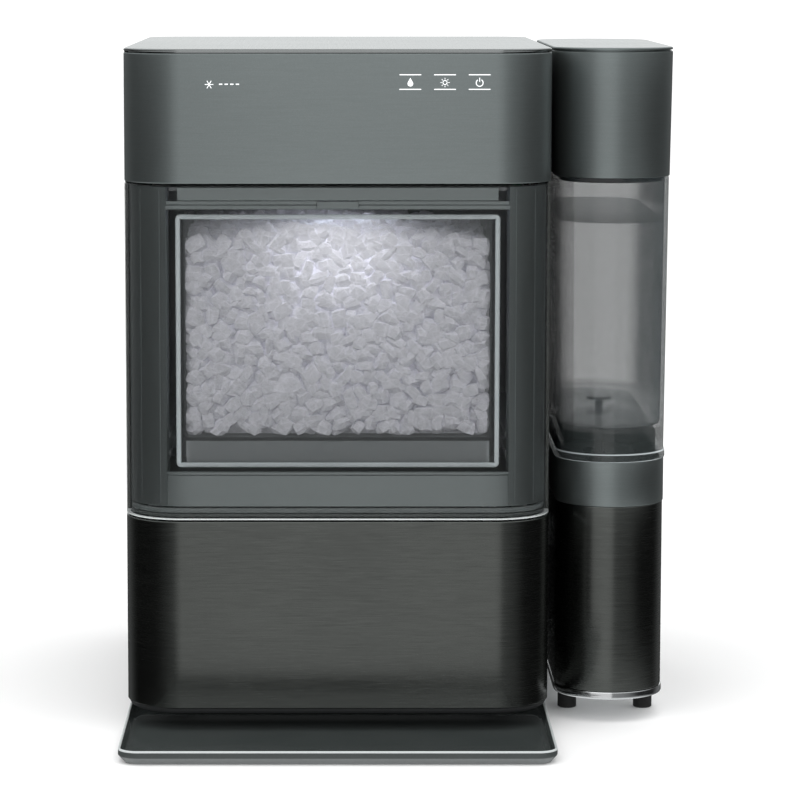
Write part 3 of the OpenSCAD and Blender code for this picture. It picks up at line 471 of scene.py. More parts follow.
def brushed(name, rgb, grain, rough, depth=0.00002, tone=0.16, metallic=1.0):
    """Sheet metal with a fine straight grain; grain stretches the pattern across the brushing."""
    s = Shader(name)
    lines = s.noise(1.0, 4.0, 0.7, grain)
    broad = s.noise(9.0, 2.0)
    streak = s.blend(lines, 0.8, broad, 0.2)
    s.link(s.tint(streak, scaled(rgb, 1 - tone), scaled(rgb, 1 + tone)), "Base Color")
    smear = s.span(broad, -0.03, 0.03)
    s.link(s.math("ADD", s.span(lines, rough - 0.04, rough + 0.05), smear), "Roughness")
    s.bump(lines, 0.25, depth)
    return s.set(Metallic=metallic).material


def black_stainless(name):
    return brushed(name, finish().stainless, (60, 60, 2600), 0.24, 0.00002, 0.26)


def slate_paint(name):
    """Satin metallic paint with a very fine flake and soft, broad unevenness."""
    s = Shader(name)
    rgb = finish().slate
    flake = s.cells(2600)
    broad = s.noise(14.0, 3.0)
    grain = s.noise(1.0, 3.0, 0.6, (60, 60, 1500))
    mix = s.blend(flake, 0.55, grain, 0.45)
    s.link(s.tint(mix, scaled(rgb, 0.9), scaled(rgb, 1.1), 0.2, 0.75), "Base Color")
    s.link(s.math("ADD", s.span(flake, 0.36, 0.42, 0.1, 0.8), s.span(broad, -0.02, 0.02)), "Roughness")
    s.bump(flake, 0.06, 0.00003)
    return s.set(Metallic=0.94, Coat_Weight=0.06, Coat_Roughness=0.25).material


def top_sheet(name):
    return brushed(name, finish().cover, (2200, 10, 10), 0.17, 0.00001, 0.06)


def dark_sheet(name):
    return brushed(name, (0.055, 0.058, 0.06), (260, 260, 260), 0.42, 0.00006, 0.12, 0.6)


def zinc_sheet(name):
    """Zinc-plated sheet with the spangle of its crystals."""
    s = Shader(name)
    spangle = s.cells(120)
    broad = s.noise(30.0, 2.0)
    s.link(s.tint(spangle, (0.42, 0.43, 0.44), (0.6, 0.61, 0.62), 0.1, 0.7), "Base Color")
    s.link(s.span(broad, 0.32, 0.46), "Roughness")
    s.bump(spangle, 0.08, 0.0001)
    return s.set(Metallic=1.0).material


def bright_steel(name):
    s = Shader(name)
    haze = s.noise(60.0, 3.0)
    s.link(s.tint(haze, (0.68, 0.69, 0.7), (0.8, 0.8, 0.81)), "Base Color")
    s.link(s.span(haze, 0.1, 0.2), "Roughness")
    return s.set(Metallic=1.0).material


def steel(name):
    return brushed(name, (0.52, 0.52, 0.53), (900, 900, 30), 0.3, 0.00004, 0.1)


def plastic(name, rgb, rough, grain_scale=900, depth=0.00005, tone=0.08, spec=0.5, coat=0.0, sheer=0.08):
    """Moulded plastic with a spark-eroded grain."""
    s = Shader(name)
    grain = s.cells(grain_scale)
    broad = s.noise(20.0, 3.0)
    mix = s.blend(grain, 0.5, broad, 0.5)
    s.link(s.tint(mix, scaled(rgb, 1 - tone), scaled(rgb, 1 + tone), 0.2, 0.7), "Base Color")
    s.link(s.span(mix, rough - 0.05, rough + 0.06, 0.2, 0.7), "Roughness")
    s.bump(grain, 0.12, depth)
    return s.set(Specular_IOR_Level=spec, Coat_Weight=coat, Coat_Roughness=sheer).material


def clear(name, rgb, alpha, edge, rough, tone=0.04, coat=0.6):
    """Clear moulding seen as a tinted film: thin across its face, denser where it is seen edge on."""
    s = Shader(name)
    haze = s.noise(40.0, 3.0)
    s.link(s.tint(haze, scaled(rgb, 1 - tone), scaled(rgb, 1 + tone)), "Base Color")
    s.link(s.span(haze, rough, rough + 0.05), "Roughness")
    facing = s.add("ShaderNodeLayerWeight", Blend=0.35).outputs["Facing"]
    s.link(s.span(facing, alpha, edge, 0.25, 1.0), "Alpha")
    return s.set(Specular_IOR_Level=0.5, Coat_Weight=coat, Coat_Roughness=0.03).material


def smoked_clear(name):
    return clear(name, scaled(finish().smoke, 0.1), 0.09, 0.6, 0.08)


def ice_body(name):
    """Cloudy chewable ice with cracked shards: pale shard edges are painted highlights, faces that look up
    are painted lighter, and the emission is a painted glow, brighter close under the lamp.
    """
    s = Shader(name)
    rgb = finish().ice
    cloud = s.noise(180.0, 4.0)
    skin = s.noise(420.0, 3.0)
    shards, chips = s.edges(150, (1, 1, 1.25)), s.edges(310, (1, 1.1, 1))
    # painted highlight: pale lines along the shard edges
    painted_edge_highlight = s.math("MAXIMUM", s.span(shards, 1.0, 0.0, 0.0, 0.07), s.span(chips, 0.45, 0.0, 0.0, 0.06))
    # the cloud is the ice's own; the pale edges and the lighter faces that look up are painted light from
    # above
    cloud_and_painted_light = s.math("ADD", s.blend(cloud, 0.35, painted_edge_highlight, 0.12), s.math("MULTIPLY", s.upward(), 0.5))
    s.link(s.tint(cloud_and_painted_light, scaled(rgb, 0.5), scaled(rgb, 1.0), 0.2, 0.7), "Base Color")
    s.link(s.span(skin, 0.22, 0.5), "Roughness")
    height = s.math("ADD", s.span(shards, 0.0, 1.0, 0.0, 0.3), s.span(chips, 0.0, 0.4, 0.0, 0.2))
    s.bump(s.math("ADD", height, s.math("MULTIPLY", skin, 0.3)), 0.35, 0.0006)
    # painted glow: the emission falls off from two points under the lamp, so the lamp's pool of light is
    # painted onto the ice
    near = s.falloff((0, 12, RAIL[1].z - 38), (22.0, 14.0, 30.0))
    wide = s.falloff((0, 12, RAIL[1].z - 82), (8.0, 8.0, 15.0))
    light = s.math("MULTIPLY", s.blend(near, 0.7, wide, 0.25), s.span(cloud_and_painted_light, 0.5, 1.35, 0.2, 0.7))
    s.link(s.tint(light, (0.0, 0.0, 0.0), scaled(rgb, 1.0), 0.0, 1.0), "Emission Color")
    return s.set(IOR=1.31, Specular_IOR_Level=0.3, Emission_Strength=0.62).material


def tray_gloss(name):
    """Glossy dark moulding that mirrors the panel above it at a shallow angle."""
    s = Shader(name)
    wave = s.noise(22.0, 2.0)
    grain = s.noise(900.0, 3.0)
    s.link(s.tint(wave, (0.075, 0.088, 0.086), (0.088, 0.1, 0.098)), "Base Color")
    s.link(s.span(grain, 0.1, 0.16), "Roughness")
    s.bump(grain, 0.06, 0.00002)
    return s.set(IOR=2.2, Coat_Weight=1.0, Coat_IOR=1.8, Coat_Roughness=0.07).material


def copper(name):
    s = Shader(name)
    tarnish = s.noise(45.0, 4.0)
    s.link(s.tint(tarnish, (0.42, 0.17, 0.09), (0.78, 0.4, 0.26)), "Base Color")
    s.link(s.span(tarnish, 0.22, 0.42), "Roughness")
    s.bump(s.noise(300.0), 0.08, 0.00006)
    return s.set(Metallic=1.0).material


def cast(name):
    s = Shader(name)
    sand = s.noise(700.0, 4.0)
    s.link(s.tint(sand, (0.36, 0.37, 0.38), (0.52, 0.53, 0.54)), "Base Color")
    s.link(s.span(sand, 0.42, 0.58), "Roughness")
    s.bump(sand, 0.4, 0.00015)
    return s.set(Metallic=1.0).material


def board_green(name):
    """Printed board: green lacquer over the paler lines of its tracks."""
    s = Shader(name)
    tracks = s.edges(260)
    s.link(s.tint(tracks, (0.07, 0.3, 0.13), (0.02, 0.12, 0.06), 0.02, 0.12), "Base Color")
    s.link(s.span(s.noise(80.0), 0.28, 0.4), "Roughness")
    s.bump(tracks, 0.2, 0.00005)
    return s.material


def foam(name):
    s = Shader(name)
    cells = s.cells(420)
    s.link(s.tint(cells, (0.62, 0.56, 0.38), (0.84, 0.79, 0.6), 0.05, 0.6), "Base Color")
    s.link(s.span(cells, 0.7, 0.9), "Roughness")
    s.bump(cells, 0.6, 0.0008)
    return s.material


def glow(name):
    """Frosted lens of the light over the ice."""
    s = Shader(name)
    frost = s.noise(200.0, 2.0)
    s.link(s.tint(frost, (0.8, 0.84, 0.9), (0.92, 0.94, 1.0)), "Base Color")
    s.link(s.span(frost, 0.4, 0.6), "Roughness")
    return s.set(Emission_Color=(*finish().lamp, 1), Emission_Strength=0.35).material


def print_white(name):
    s = Shader(name)
    ink = s.noise(900.0, 2.0)
    s.link(s.tint(ink, (0.78, 0.8, 0.8), (0.92, 0.93, 0.93)), "Base Color")
    s.link(s.span(ink, 0.35, 0.5), "Roughness")
    return s.set(Emission_Color=(0.9, 0.95, 1.0, 1), Emission_Strength=0.35).material


# Every material slot of the frame, and every further finish of the look
FINISHES = {
    "slate_paint": slate_paint,
    "black_stainless": black_stainless,
    "top_sheet": top_sheet,
    "dark_sheet": dark_sheet,
    "zinc_sheet": zinc_sheet,
    "bright_steel": bright_steel,
    "tinted_clear": smoked_clear,
    "clear_plastic": lambda n: clear(n, (0.5, 0.54, 0.55), 0.04, 0.45, 0.06),
    "tank_clear": lambda n: clear(n, scaled(finish().tank, 0.09), 0.2, 0.86, 0.02),
    "water": lambda n: clear(n, (0.75, 0.8, 0.82), 0.04, 0.3, 0.02),
    # painted shade: dark, dense film on the water's top, for the shade under the cap
    "water_top": lambda n: clear(n, (0.06, 0.07, 0.075), 0.72, 0.76, 0.2, 0.04, 0.0),
    "tank_back": lambda n: clear(n, scaled(finish().tank, 0.12), 0.4, 0.7, 0.02),
    # painted reflection of the cabinet's dark side, on the tank's flank
    "tank_shade": lambda n: clear(n, (0.014, 0.018, 0.018), 0.42, 0.8, 0.02),
    "tank_foot": lambda n: clear(n, (0.035, 0.042, 0.042), 0.5, 0.8, 0.04),
    "frame_plastic": lambda n: plastic(n, (0.085, 0.098, 0.098), 0.34),
    "liner_plastic": lambda n: plastic(n, (0.2, 0.21, 0.22), 0.4),
    "black_plastic": lambda n: plastic(n, (0.02, 0.021, 0.022), 0.45),
    "white_plastic": lambda n: plastic(n, (0.74, 0.75, 0.74), 0.4),
    "grey_plastic": lambda n: plastic(n, (0.16, 0.17, 0.175), 0.42),
    "float_plastic": lambda n: plastic(n, (0.75, 0.26, 0.04), 0.4),
    # painted highlight: a pale, dense copy of the clear film for the bright round edges of the bin's rim and
    # the tank's lip
    "rim_clear_painted_highlight": lambda n: clear(n, (0.6, 0.66, 0.68), 0.55, 0.9, 0.1),
    # painted highlight: pale strip along the foot of the smoked front
    "edge_painted_highlight": lambda n: plastic(n, (0.72, 0.76, 0.76), 0.25, 900, 0.00002, 0.05),
    "frost": lambda n: plastic(n, (0.16, 0.175, 0.18), 0.5, 700, 0.00005, 0.05),
    "tray_plastic": tray_gloss,
    # lit and shaded copies of the tray's plastic: a painted highlight for its rim, painted shade for its
    # outer wall, painted reflection for its chamfer
    "tray_rim_painted_highlight": lambda n: plastic(n, (0.5, 0.53, 0.53), 0.3, 900, 0.00001, 0.05),
    "tray_side": lambda n: plastic(n, (0.045, 0.052, 0.051), 0.4, 900, 0.00002, 0.1, 0.4),
    "tray_chamfer_painted_reflection": lambda n: plastic(n, (0.15, 0.16, 0.16), 0.4, 900, 0.00002, 0.1, 0.4),
    "foam": foam,
    "rubber": lambda n: plastic(n, (0.018, 0.018, 0.018), 0.75, 600, 0.0001, 0.2, 0.3),
    "seal_rubber": lambda n: plastic(n, (0.02, 0.021, 0.022), 0.6, 600, 0.0001, 0.2, 0.3),
    "steel": steel,
    "black_steel": lambda n: plastic(n, (0.012, 0.012, 0.013), 0.22, 500, 0.00008, 0.15, 0.6, 0.5),
    "cast_alloy": cast,
    "fin_aluminium": lambda n: brushed(n, (0.68, 0.69, 0.71), (30, 900, 30), 0.34, 0.00003, 0.08),
    "gear_plastic": lambda n: plastic(n, (0.8, 0.74, 0.55), 0.38),
    "bronze": lambda n: brushed(n, (0.5, 0.33, 0.13), (500, 500, 500), 0.36, 0.00005, 0.14),
    "copper": copper,
    "board": board_green,
    "hose": lambda n: plastic(n, (0.42, 0.45, 0.46), 0.32, 400, 0.00005, 0.06, 0.5, 0.2),
    "pad_foil": lambda n: brushed(n, (0.75, 0.58, 0.24), (300, 300, 300), 0.3, 0.00003, 0.08),
    "ice": ice_body,
    "glow": glow,
    "print_white": print_white,
}


# ------------------------------------------------------------------ operators

class ICEMAKER_OT_frame(bpy.types.Operator):
    """Give every node of the frame the finish of its slot"""
    bl_idname = "icemaker.frame"
    bl_label = "Frame finishes"
    bl_options = {"REGISTER", "UNDO"}

    def execute(self, context):
        slots = {part["node"]: part["material_slot"] for part in frame["record"]["subparts"]}
        for node, piece in frame["nodes"].items():
            piece.data.materials.clear()
            piece.data.materials.append(material(slots[node]))
        return {"FINISHED"}


class ICEMAKER_OT_cabinet(bpy.types.Operator):
    """Build the cabinet's sheet panels"""
    bl_idname = "icemaker.cabinet"
    bl_label = "Cabinet panels"
    bl_options = {"REGISTER", "UNDO"}

    def execute(self, context):
        fronts = (("fascia_panel", FASCIA, "slate_paint", "control_fascia"),
                  ("low_panel", LOW_PANEL, "black_stainless", "lower_front_panel"))
        for name, (low, high), finish_name, node in fronts:
            panel = bmesh.new()
            add_wall(panel, front_wrap, rounded(FRONT_SHEET, low.z, high.z, size("round")), False)
            make_piece(name, panel, finish_name, "cabinet", [node])
        for side, node in ((-1, "side_panel_left"), (1, "side_panel_right")):
            panel = bmesh.new()
            section = rounded(SIDE_SHEET, SIDE[0].z, SIDE[1].z, 0.5)
            add_wall(panel, lambda inset: side_wrap(side, inset), section, False)
            make_piece(node + "_sheet", panel, "black_stainless", "cabinet", [node])
        self.build_top()
        self.build_base()
        return {"FINISHED"}

    def build_top(self):
        """Cover with a rolled edge, over a rib that stands inside the walls."""
        top = bmesh.new()
        z0, z1, roll = TOP[1].z - 1.8, TOP[1].z, 1.0
        layers = [(cabinet_plan(0.9), z0), (cabinet_plan(0.3), z0 + 0.15), (cabinet_plan(0.05), z0 + 0.5)]
        layers += [(cabinet_plan(inset), z) for inset, z in arc(roll, z1 - roll, roll, 180, 90, 6)]
        layers += [(cabinet_plan(3.0), z1)]
        add_stack(top, layers)
        add_wall(top, cabinet_plan, [(2.8, z0 - 6), (4.4, z0 - 6), (4.4, z0 + 0.4), (2.8, z0 + 0.4)], True)
        make_piece("top_cover", top, "top_sheet", "cabinet", ["top_panel"])

    def build_base(self):
        """Plinth under the panels, its sides curving in to the underside."""
        base = bmesh.new()
        z0, z1 = PAN[0].z, PAN[1].z
        section = [(8.0, z0), (4.0, z0 + 0.6), (2.0, z0 + 1.7), (1.25, z1 - 1.3), (1.2, z1 - 0.6), (1.6, z1)]
        add_stack(base, [(cabinet_plan(inset), z) for inset, z in section])
        make_piece("base_plinth", base, "seal_rubber", "cabinet", ["base_pan"])


class ICEMAKER_OT_marks(bpy.types.Operator):
    """Build the printed touch marks and the status sign on the fascia"""
    bl_idname = "icemaker.marks"
    bl_label = "Touch marks"
    bl_options = {"REGISTER", "UNDO"}

    def execute(self, context):
        bm = bmesh.new()
        drop_x, lamp_x, power_x = TOUCH_X
        for x in TOUCH_X:
            for z in (TOUCH_Z + 4.4, TOUCH_Z - 4.4):
                self.bar(bm, x - 6.6, x + 6.6, z, 0.55)
        self.drop(bm, drop_x, TOUCH_Z)
        self.ring(bm, lamp_x, TOUCH_Z, 1.25, 0.42, 0, 360)
        for k in range(8):
            self.ray(bm, lamp_x, TOUCH_Z, 45 * k, 1.9, 2.8, 0.36)
        self.ring(bm, power_x, TOUCH_Z - 0.2, 2.1, 0.5, 120, 420)
        self.ray(bm, power_x, TOUCH_Z - 0.2, 90, 0.6, 3.1, 0.5)
        for k in range(3):
            self.ray(bm, STATUS_X, STATUS_Z, 60 * k, -2.6, 2.6, 0.42)
        for k in range(4):
            dash = STATUS_X + 6 + 3.4 * k
            self.bar(bm, dash, dash + 2, STATUS_Z - 0.2, 0.7)
        make_piece("touch_marks", bm, "print_white", "cabinet")
        return {"FINISHED"}

    def slab(self, bm, corners):
        """Prism 0.05 mm proud of the fascia's flat front."""
        front = [bm.verts.new((x, -0.05, z)) for x, z in corners]
        back = [bm.verts.new((x, 0.02, z)) for x, z in corners]
        bridge(bm, front, back, True)
        bm.faces.new(front)
        bm.faces.new(list(reversed(back)))

    def bar(self, bm, x0, x1, z, t):
        self.slab(bm, [(x0, z), (x1, z), (x1, z + t), (x0, z + t)])

    def ray(self, bm, x, z, angle, r0, r1, t):
        """Stroke from r0 to r1 out of a middle, t thick."""
        a = math.radians(angle)
        along, across = Vector((math.cos(a), math.sin(a))), Vector((-math.sin(a), math.cos(a))) * t / 2
        start, end = Vector((x, z)) + along * r0, Vector((x, z)) + along * r1
        corners = (start - across, end - across, end + across, start + across)
        self.slab(bm, [tuple(corner) for corner in corners])

    def ring(self, bm, x, z, r, t, start, end):
        """Stroke t thick round a middle, from one angle to another."""
        outer, inner = arc(x, z, r + t / 2, start, end, 24), arc(x, z, r - t / 2, start, end, 24)
        for k in range(24):
            self.slab(bm, [outer[k], outer[k + 1], inner[k + 1], inner[k]])

    def drop(self, bm, x, z):
        self.slab(bm, arc(x, z - 0.7, 1.7, -215, 35, 16) + [(x, z + 2.8)])


class ICEMAKER_OT_drawer(bpy.types.Operator):
    """Build the drawer's smoked front, its frame and the clear bin"""
    bl_idname = "icemaker.drawer"
    bl_label = "Ice drawer"
    bl_options = {"REGISTER", "UNDO"}

    def execute(self, context):
        self.build_front()
        self.build_frame()
        self.build_rail()
        self.build_rim()
        self.build_bin()
        return {"FINISHED"}

    def build_front(self):
        """Smoked wall round the front, with the two bands behind its foot and a pale line along it that is a
        painted highlight.
        """
        z0, z1 = DOOR[0].z, DOOR[1].z
        shell = bmesh.new()
        add_wall(shell, front_wrap, rounded(DOOR_WALL, z0, z1, 0.9), False)
        make_piece("smoked_front", shell, "tinted_clear", "ice_drawer", ["drawer_front"])
        bands = (("front_lip_low", 1.3, 3.6, "tray_side"), ("front_lip_high", 4.0, 7.2, "frame_plastic"))
        for name, low, high, finish_name in bands:
            lip = bmesh.new()
            section = rounded(3.4, z0 + low, z0 + high, 0.8)
            add_wall(lip, lambda inset: front_wrap(inset + DOOR_WALL + 0.1, REACH - 2), section, False)
            make_piece(name, lip, finish_name, "ice_drawer")
        # painted highlight: a pale strip inside the smoked front's foot stands for the light caught along its
        # bottom edge
        line = bmesh.new()
        section = [(0.3, z0 + 0.2), (2.6, z0 + 0.2), (2.6, z0 + 0.95), (0.12, z0 + 0.95)]
        add_wall(line, front_wrap, section, False)
        make_piece("front_edge_painted_highlight", line, "edge_painted_highlight", "ice_drawer")

    def build_frame(self):
        """Columns in both corners, their ribs, and the apron under the window."""
        moulding = bmesh.new()
        low, high = DOOR[0].z + 8.2, DOOR[1].z - 1.0
        corner = size("corner")
        middle, rib_r = HALF_W - corner, corner - 3.4

        def column(side, inset):
            start = -math.degrees(math.acos((WINDOW_HALF - middle) / corner))
            inset += DOOR_WALL + 0.1
            path = arc(middle, corner, corner - inset, start, 0, 14) + [(HALF_W - inset, REACH - 4)]
            return [(side * x, y) for x, y in path]
        for side in (-1, 1):
            add_wall(moulding, lambda inset: column(side, inset), rounded(5.0, low, high, 0.6), False)
            for x, y in arc(middle, corner, rib_r, -14, -66, 2):
                add_tube(moulding, [(side * x, y, low + 2), (side * x, y, high - 2)], 0.55, 8)
        sill = WINDOW_LOW
        apron = [(3.4, low), (8.0, low), (8.0, sill), (3.8, sill), (3.4, sill - 0.4), (3.4, sill - 1.6),
                 (4.4, sill - 2.4)]
        half = WINDOW_HALF - 0.1
        add_wall(moulding, lambda inset: wrap_between(inset, -half, half), apron, False)
        make_piece("drawer_frame_moulding", moulding, "slate_paint", "ice_drawer",
                   ["drawer_frame"])

    def build_rail(self):
        """Bar along the drawer's top, the step over the window and the grip in its middle."""
        rail = bmesh.new()
        half, head, top = RAIL[1].x, WINDOW_HIGH, DOOR[1].z - 0.6
        bar = arc(5.6, top - 2.0, 2.0, 180, 90, 5) + [(8.0, top), (8.0, head + 5.6)]
        bar += arc(4.4, head + 6.4, 0.8, 270, 180, 4)
        add_wall(rail, lambda inset: [(-half, inset), (half, inset)], bar, False)
        step = [(5.4, head + 5.2), (8.0, head + 5.2), (8.0, head + 0.2), (4.9, head + 0.2), (4.6, head + 0.6),
                (4.6, head + 2.6), (5.4, head + 3.2)]
        add_wall(rail, lambda inset: [(-WINDOW_HALF, inset), (WINDOW_HALF, inset)], step, False)
        add_box(rail, -13, 13, 3.6, 5.2, head + 0.9, head + 5.0, 0.5)
        make_piece("drawer_rail_bar", rail, "slate_paint", "ice_drawer", ["drawer_top_rail"])

    def build_rim(self):
        """Clear rim of the bin's front plate: its round edges catch the light, and its pale, dense film
        paints a highlight along them.
        """
        rim = bmesh.new()
        half, low, high = WINDOW_HALF - 6.5, WINDOW_LOW + 2.2, WINDOW_HIGH - 3.1
        section = [(inset, BIN_FRONT - 0.8 + y) for inset, y in rounded(3.0, 0.0, 3.4, 0.9)]
        rings = [[rim.verts.new((x, y, z)) for x, z in box_plan(-half, half, low, high, 3.0, inset, 5)]
                 for inset, y in section]
        for k in range(len(rings)):
            bridge(rim, rings[k], rings[(k + 1) % len(rings)], True)
        make_piece("bin_rim", rim, "rim_clear_painted_highlight", "ice_drawer")

    def build_bin(self):
        """Clear tub with its ice floor, the frosted band under it and a runner along each side."""
        back, z0, z1 = BIN[1].y, BIN[0].z, BIN[1].z
        tub = bmesh.new()

        def ring(inset, z):
            plan = box_plan(-BIN_HALF, BIN_HALF, BIN_FRONT, back, 6.0, inset, 6)
            return [tub.verts.new((x, y, z)) for x, y in plan]
        t, floor = BIN_WALL, BIN_FLOOR
        section = [(0.0, z0), (0.0, z1 - 1.2), (-1.6, z1 - 0.8), (-1.6, z1), (t, z1), (t, floor + t),
                   (t + 1.5, floor + t)]
        walls = [ring(inset, z) for inset, z in section]
        for above, below in zip(walls, walls[1:]):
            bridge(tub, above, below, True)
        tub.faces.new(walls[-1])
        foot, ceiling = ring(t, z0), ring(t, floor)
        bridge(tub, walls[0], foot, True)
        bridge(tub, foot, ceiling, True)
        tub.faces.new(ceiling)
        band = bmesh.new()
        front = BIN_FRONT + t
        add_box(band, 3.5 - BIN_HALF, BIN_HALF - 3.5, front + 0.1, front + 0.9, z0 + 1, floor - 0.2, 0.3)
        make_piece("bin_frost_band", band, "frost", "ice_drawer")
        rails = span("drawer_rails")
        middle = (rails[0].z + rails[1].z) / 2
        for side in (-1, 1):
            x0, x1 = sorted((side * BIN_HALF, side * BIN[1].x))
            add_box(tub, x0, x1, 21, back - 2, middle - 3.7, middle + 3.7, 0.8)
        make_piece("clear_bin", tub, "clear_plastic", "ice_drawer", ["ice_bin"])


def nugget_tree(name):
    """Geometry Nodes: nuggets scattered on a surface, each bent its own way and pressed into a box."""
    tree = bpy.data.node_groups.new(name, "GeometryNodeTree")
    inputs = {"Geometry": "Geometry", "Nugget Size": "Float", "Spacing": "Float", "Bend": "Float",
              "Seed": "Int", "Level": "Int", "Box Low": "Vector", "Box High": "Vector",
              "Material": "Material"}
    for label, kind in inputs.items():
        tree.interface.new_socket(label, in_out="INPUT", socket_type="NodeSocket" + kind)
    tree.interface.new_socket("Geometry", in_out="OUTPUT", socket_type="NodeSocketGeometry")
    w = Wiring(tree)
    given = w.add("NodeGroupInput").outputs
    seed = given["Seed"]
    points = w.add("GeometryNodeDistributePointsOnFaces", {"distribute_method": "POISSON"},
                   Mesh=given["Geometry"], Density_Max=60000, Distance_Min=given["Spacing"], Seed=seed)
    cube = w.add("GeometryNodeMeshCube", Size=given["Nugget Size"])
    vectors = {"data_type": "FLOAT_VECTOR"}
    turn = w.add("FunctionNodeRandomValue", vectors, Max=(6.28, 6.28, 6.28), Seed=seed)
    shape = w.add("FunctionNodeRandomValue", vectors, Min=(0.6, 0.5, 0.8), Max=(1.2, 0.95, 1.5), Seed=seed)
    place = w.add("GeometryNodeInstanceOnPoints", Points=points.outputs["Points"],
                  Instance=cube.outputs["Mesh"], Rotation=turn.outputs["Value"], Scale=shape.outputs["Value"])
    real = w.add("GeometryNodeRealizeInstances", Geometry=place.outputs["Instances"])
    noise = w.add("ShaderNodeTexNoise", Scale=210.0)
    centred = w.vector("SUBTRACT", noise.outputs["Color"], (0.5, 0.5, 0.5))
    bend = w.vector("SCALE", centred.outputs[0])
    w.feed(bend.inputs["Scale"], given["Bend"])
    push = w.add("GeometryNodeSetPosition", Geometry=real.outputs["Geometry"], Offset=bend.outputs[0])
    cut = w.add("GeometryNodeSubdivisionSurface", Mesh=push.outputs["Geometry"], Level=given["Level"],
                Edge_Crease=0.9)
    held = w.add("GeometryNodeInputPosition").outputs["Position"]
    for label, kind in (("Box Low", "MAXIMUM"), ("Box High", "MINIMUM")):
        press = w.add("ShaderNodeMix", {"data_type": "VECTOR"}, Factor=0.1)
        w.feed(press.inputs[4], given[label])
        w.feed(press.inputs[5], held)
        held = w.vector(kind, held, press.outputs[1]).outputs[0]
    pressed = w.add("GeometryNodeSetPosition", Geometry=cut.outputs["Mesh"], Position=held)
    dressed = w.add("GeometryNodeSetMaterial", Geometry=pressed.outputs["Geometry"],
                    Material=given["Material"])
    w.add("NodeGroupOutput", Geometry=dressed.outputs["Geometry"])
    return tree


def run_tree(name, base, tree, inputs, body, replaces=()):
    """Runs a Geometry Nodes tree on a base mesh and keeps its result as one plain piece."""
    source = bpy.data.objects.new(name + "_base", base)
    bpy.context.scene.collection.objects.link(source)
    modifier = source.modifiers.new("build", "NODES")
    modifier.node_group = tree
    sockets = {s.name: s.identifier for s in tree.interface.items_tree if s.in_out == "INPUT"}
    for label, value in inputs.items():
        modifier[sockets[label]] = value
    bpy.context.view_layer.update()
    result = source.evaluated_get(bpy.context.evaluated_depsgraph_get())
    mesh = bpy.data.meshes.new_from_object(result)
    mesh.name = name
    source.modifiers.clear()
    bpy.data.objects.remove(source)
    if not mesh.polygons:
        raise RuntimeError(f"the tree of {name} made no faces")
    piece = bpy.data.objects.new(name, mesh)
    bpy.context.scene.collection.objects.link(piece)
    return settle(piece, body, replaces)


class ICEMAKER_OT_ice(bpy.types.Operator):
    """Fill the bin with ice nuggets"""
    bl_idname = "icemaker.ice"
    bl_label = "Ice"
    bl_options = {"REGISTER", "UNDO"}

    def heap(self, x, y, inset):
        """Height of the ice over a point of the bin, as it falls from the chute at the back."""
        drop = 6.0 * (abs(x + 10) / 90) ** 2 + 5.0 * math.sin(x / 17.0) * math.sin(y / 23.0 + 1.3) * 0.5
        rise = 7.0 * math.exp(-((x + 30) ** 2 + (y - 165) ** 2) / 2600)
        return size("heap") - inset - drop + rise

    def sheet(self, bm, corners, across, up):
        """Grid between four corners given as a function of two shares."""
        rows = [[bm.verts.new(corners(i / across, j / up)) for i in range(across + 1)] for j in range(up + 1)]
        for below, above in zip(rows, rows[1:]):
            bridge(bm, below, above, False)

    def execute(self, context):
        floor = BIN_FLOOR + BIN_WALL
        y0, y1 = BIN_FRONT + BIN_WALL + ICE_GAP, BIN[1].y - BIN_WALL - ICE_GAP
        half = BIN_HALF - BIN_WALL - ICE_GAP

        def wall(y, inset):
            def at(u, v):
                x, low = (half - inset) * (2 * u - 1), floor + inset
                return x, y, low + (self.heap(x, y, inset) - low) * v
            return at

        def flank(x):
            def at(u, v):
                y = y0 + 5 + (y1 - y0 - 10) * u
                return x, y, floor + 4.5 + (self.heap(x, y, 4.5) - floor - 4.5) * v
            return at

        def top(inset):
            def at(u, v):
                x, y = (half - 4.5) * (2 * u - 1), y0 + 5 + (y1 - y0 - 10) * v
                return x, y, self.heap(x, y, inset)
            return at

        layers = (
            ("ice_front", [wall(y0 + 5.4, 5.4), wall(y0 + 9.5, 6.0), wall(y0 + 15, 6.0)], 24, 0.0063),
            ("ice_top", [top(4.4), top(8.0)], 40, 0.008),
            ("ice_flanks", [flank(-half + 5.4), flank(half - 5.4), wall(y1 - 5.4, 5.4)], 24, 0.0082),
        )
        tree = nugget_tree("Ice nuggets")
        for number, (name, sheets, up, spacing) in enumerate(layers):
            bm = bmesh.new()
            for at in sheets:
                self.sheet(bm, at, 40, up)
            run_tree(name, plain_mesh(name + "_sheet", bm), tree, {
                "Nugget Size": size("nugget") * MM, "Spacing": spacing, "Bend": 0.012, "Level": 1,
                "Seed": context.scene.ice_maker_sizes.seed + number, "Material": material("ice"),
                "Box Low": to_frame((-half + 1.0, y0 + 1.2, floor + 0.8)),
                "Box High": to_frame((half - 1.0, y1 - 1.0, RAIL[0].z + 8)),
            }, "ice_drawer")
        core = bmesh.new()
        depth = 11.0
        plan = box_plan(-half, half, y0, y1, depth + 8, depth)
        add_stack(core, [(plan, floor + 1 + share * 108) for share in (0.0, 0.5, 1.0)])
        make_piece("ice_core", core, "ice", "ice_drawer")
        return {"FINISHED"}


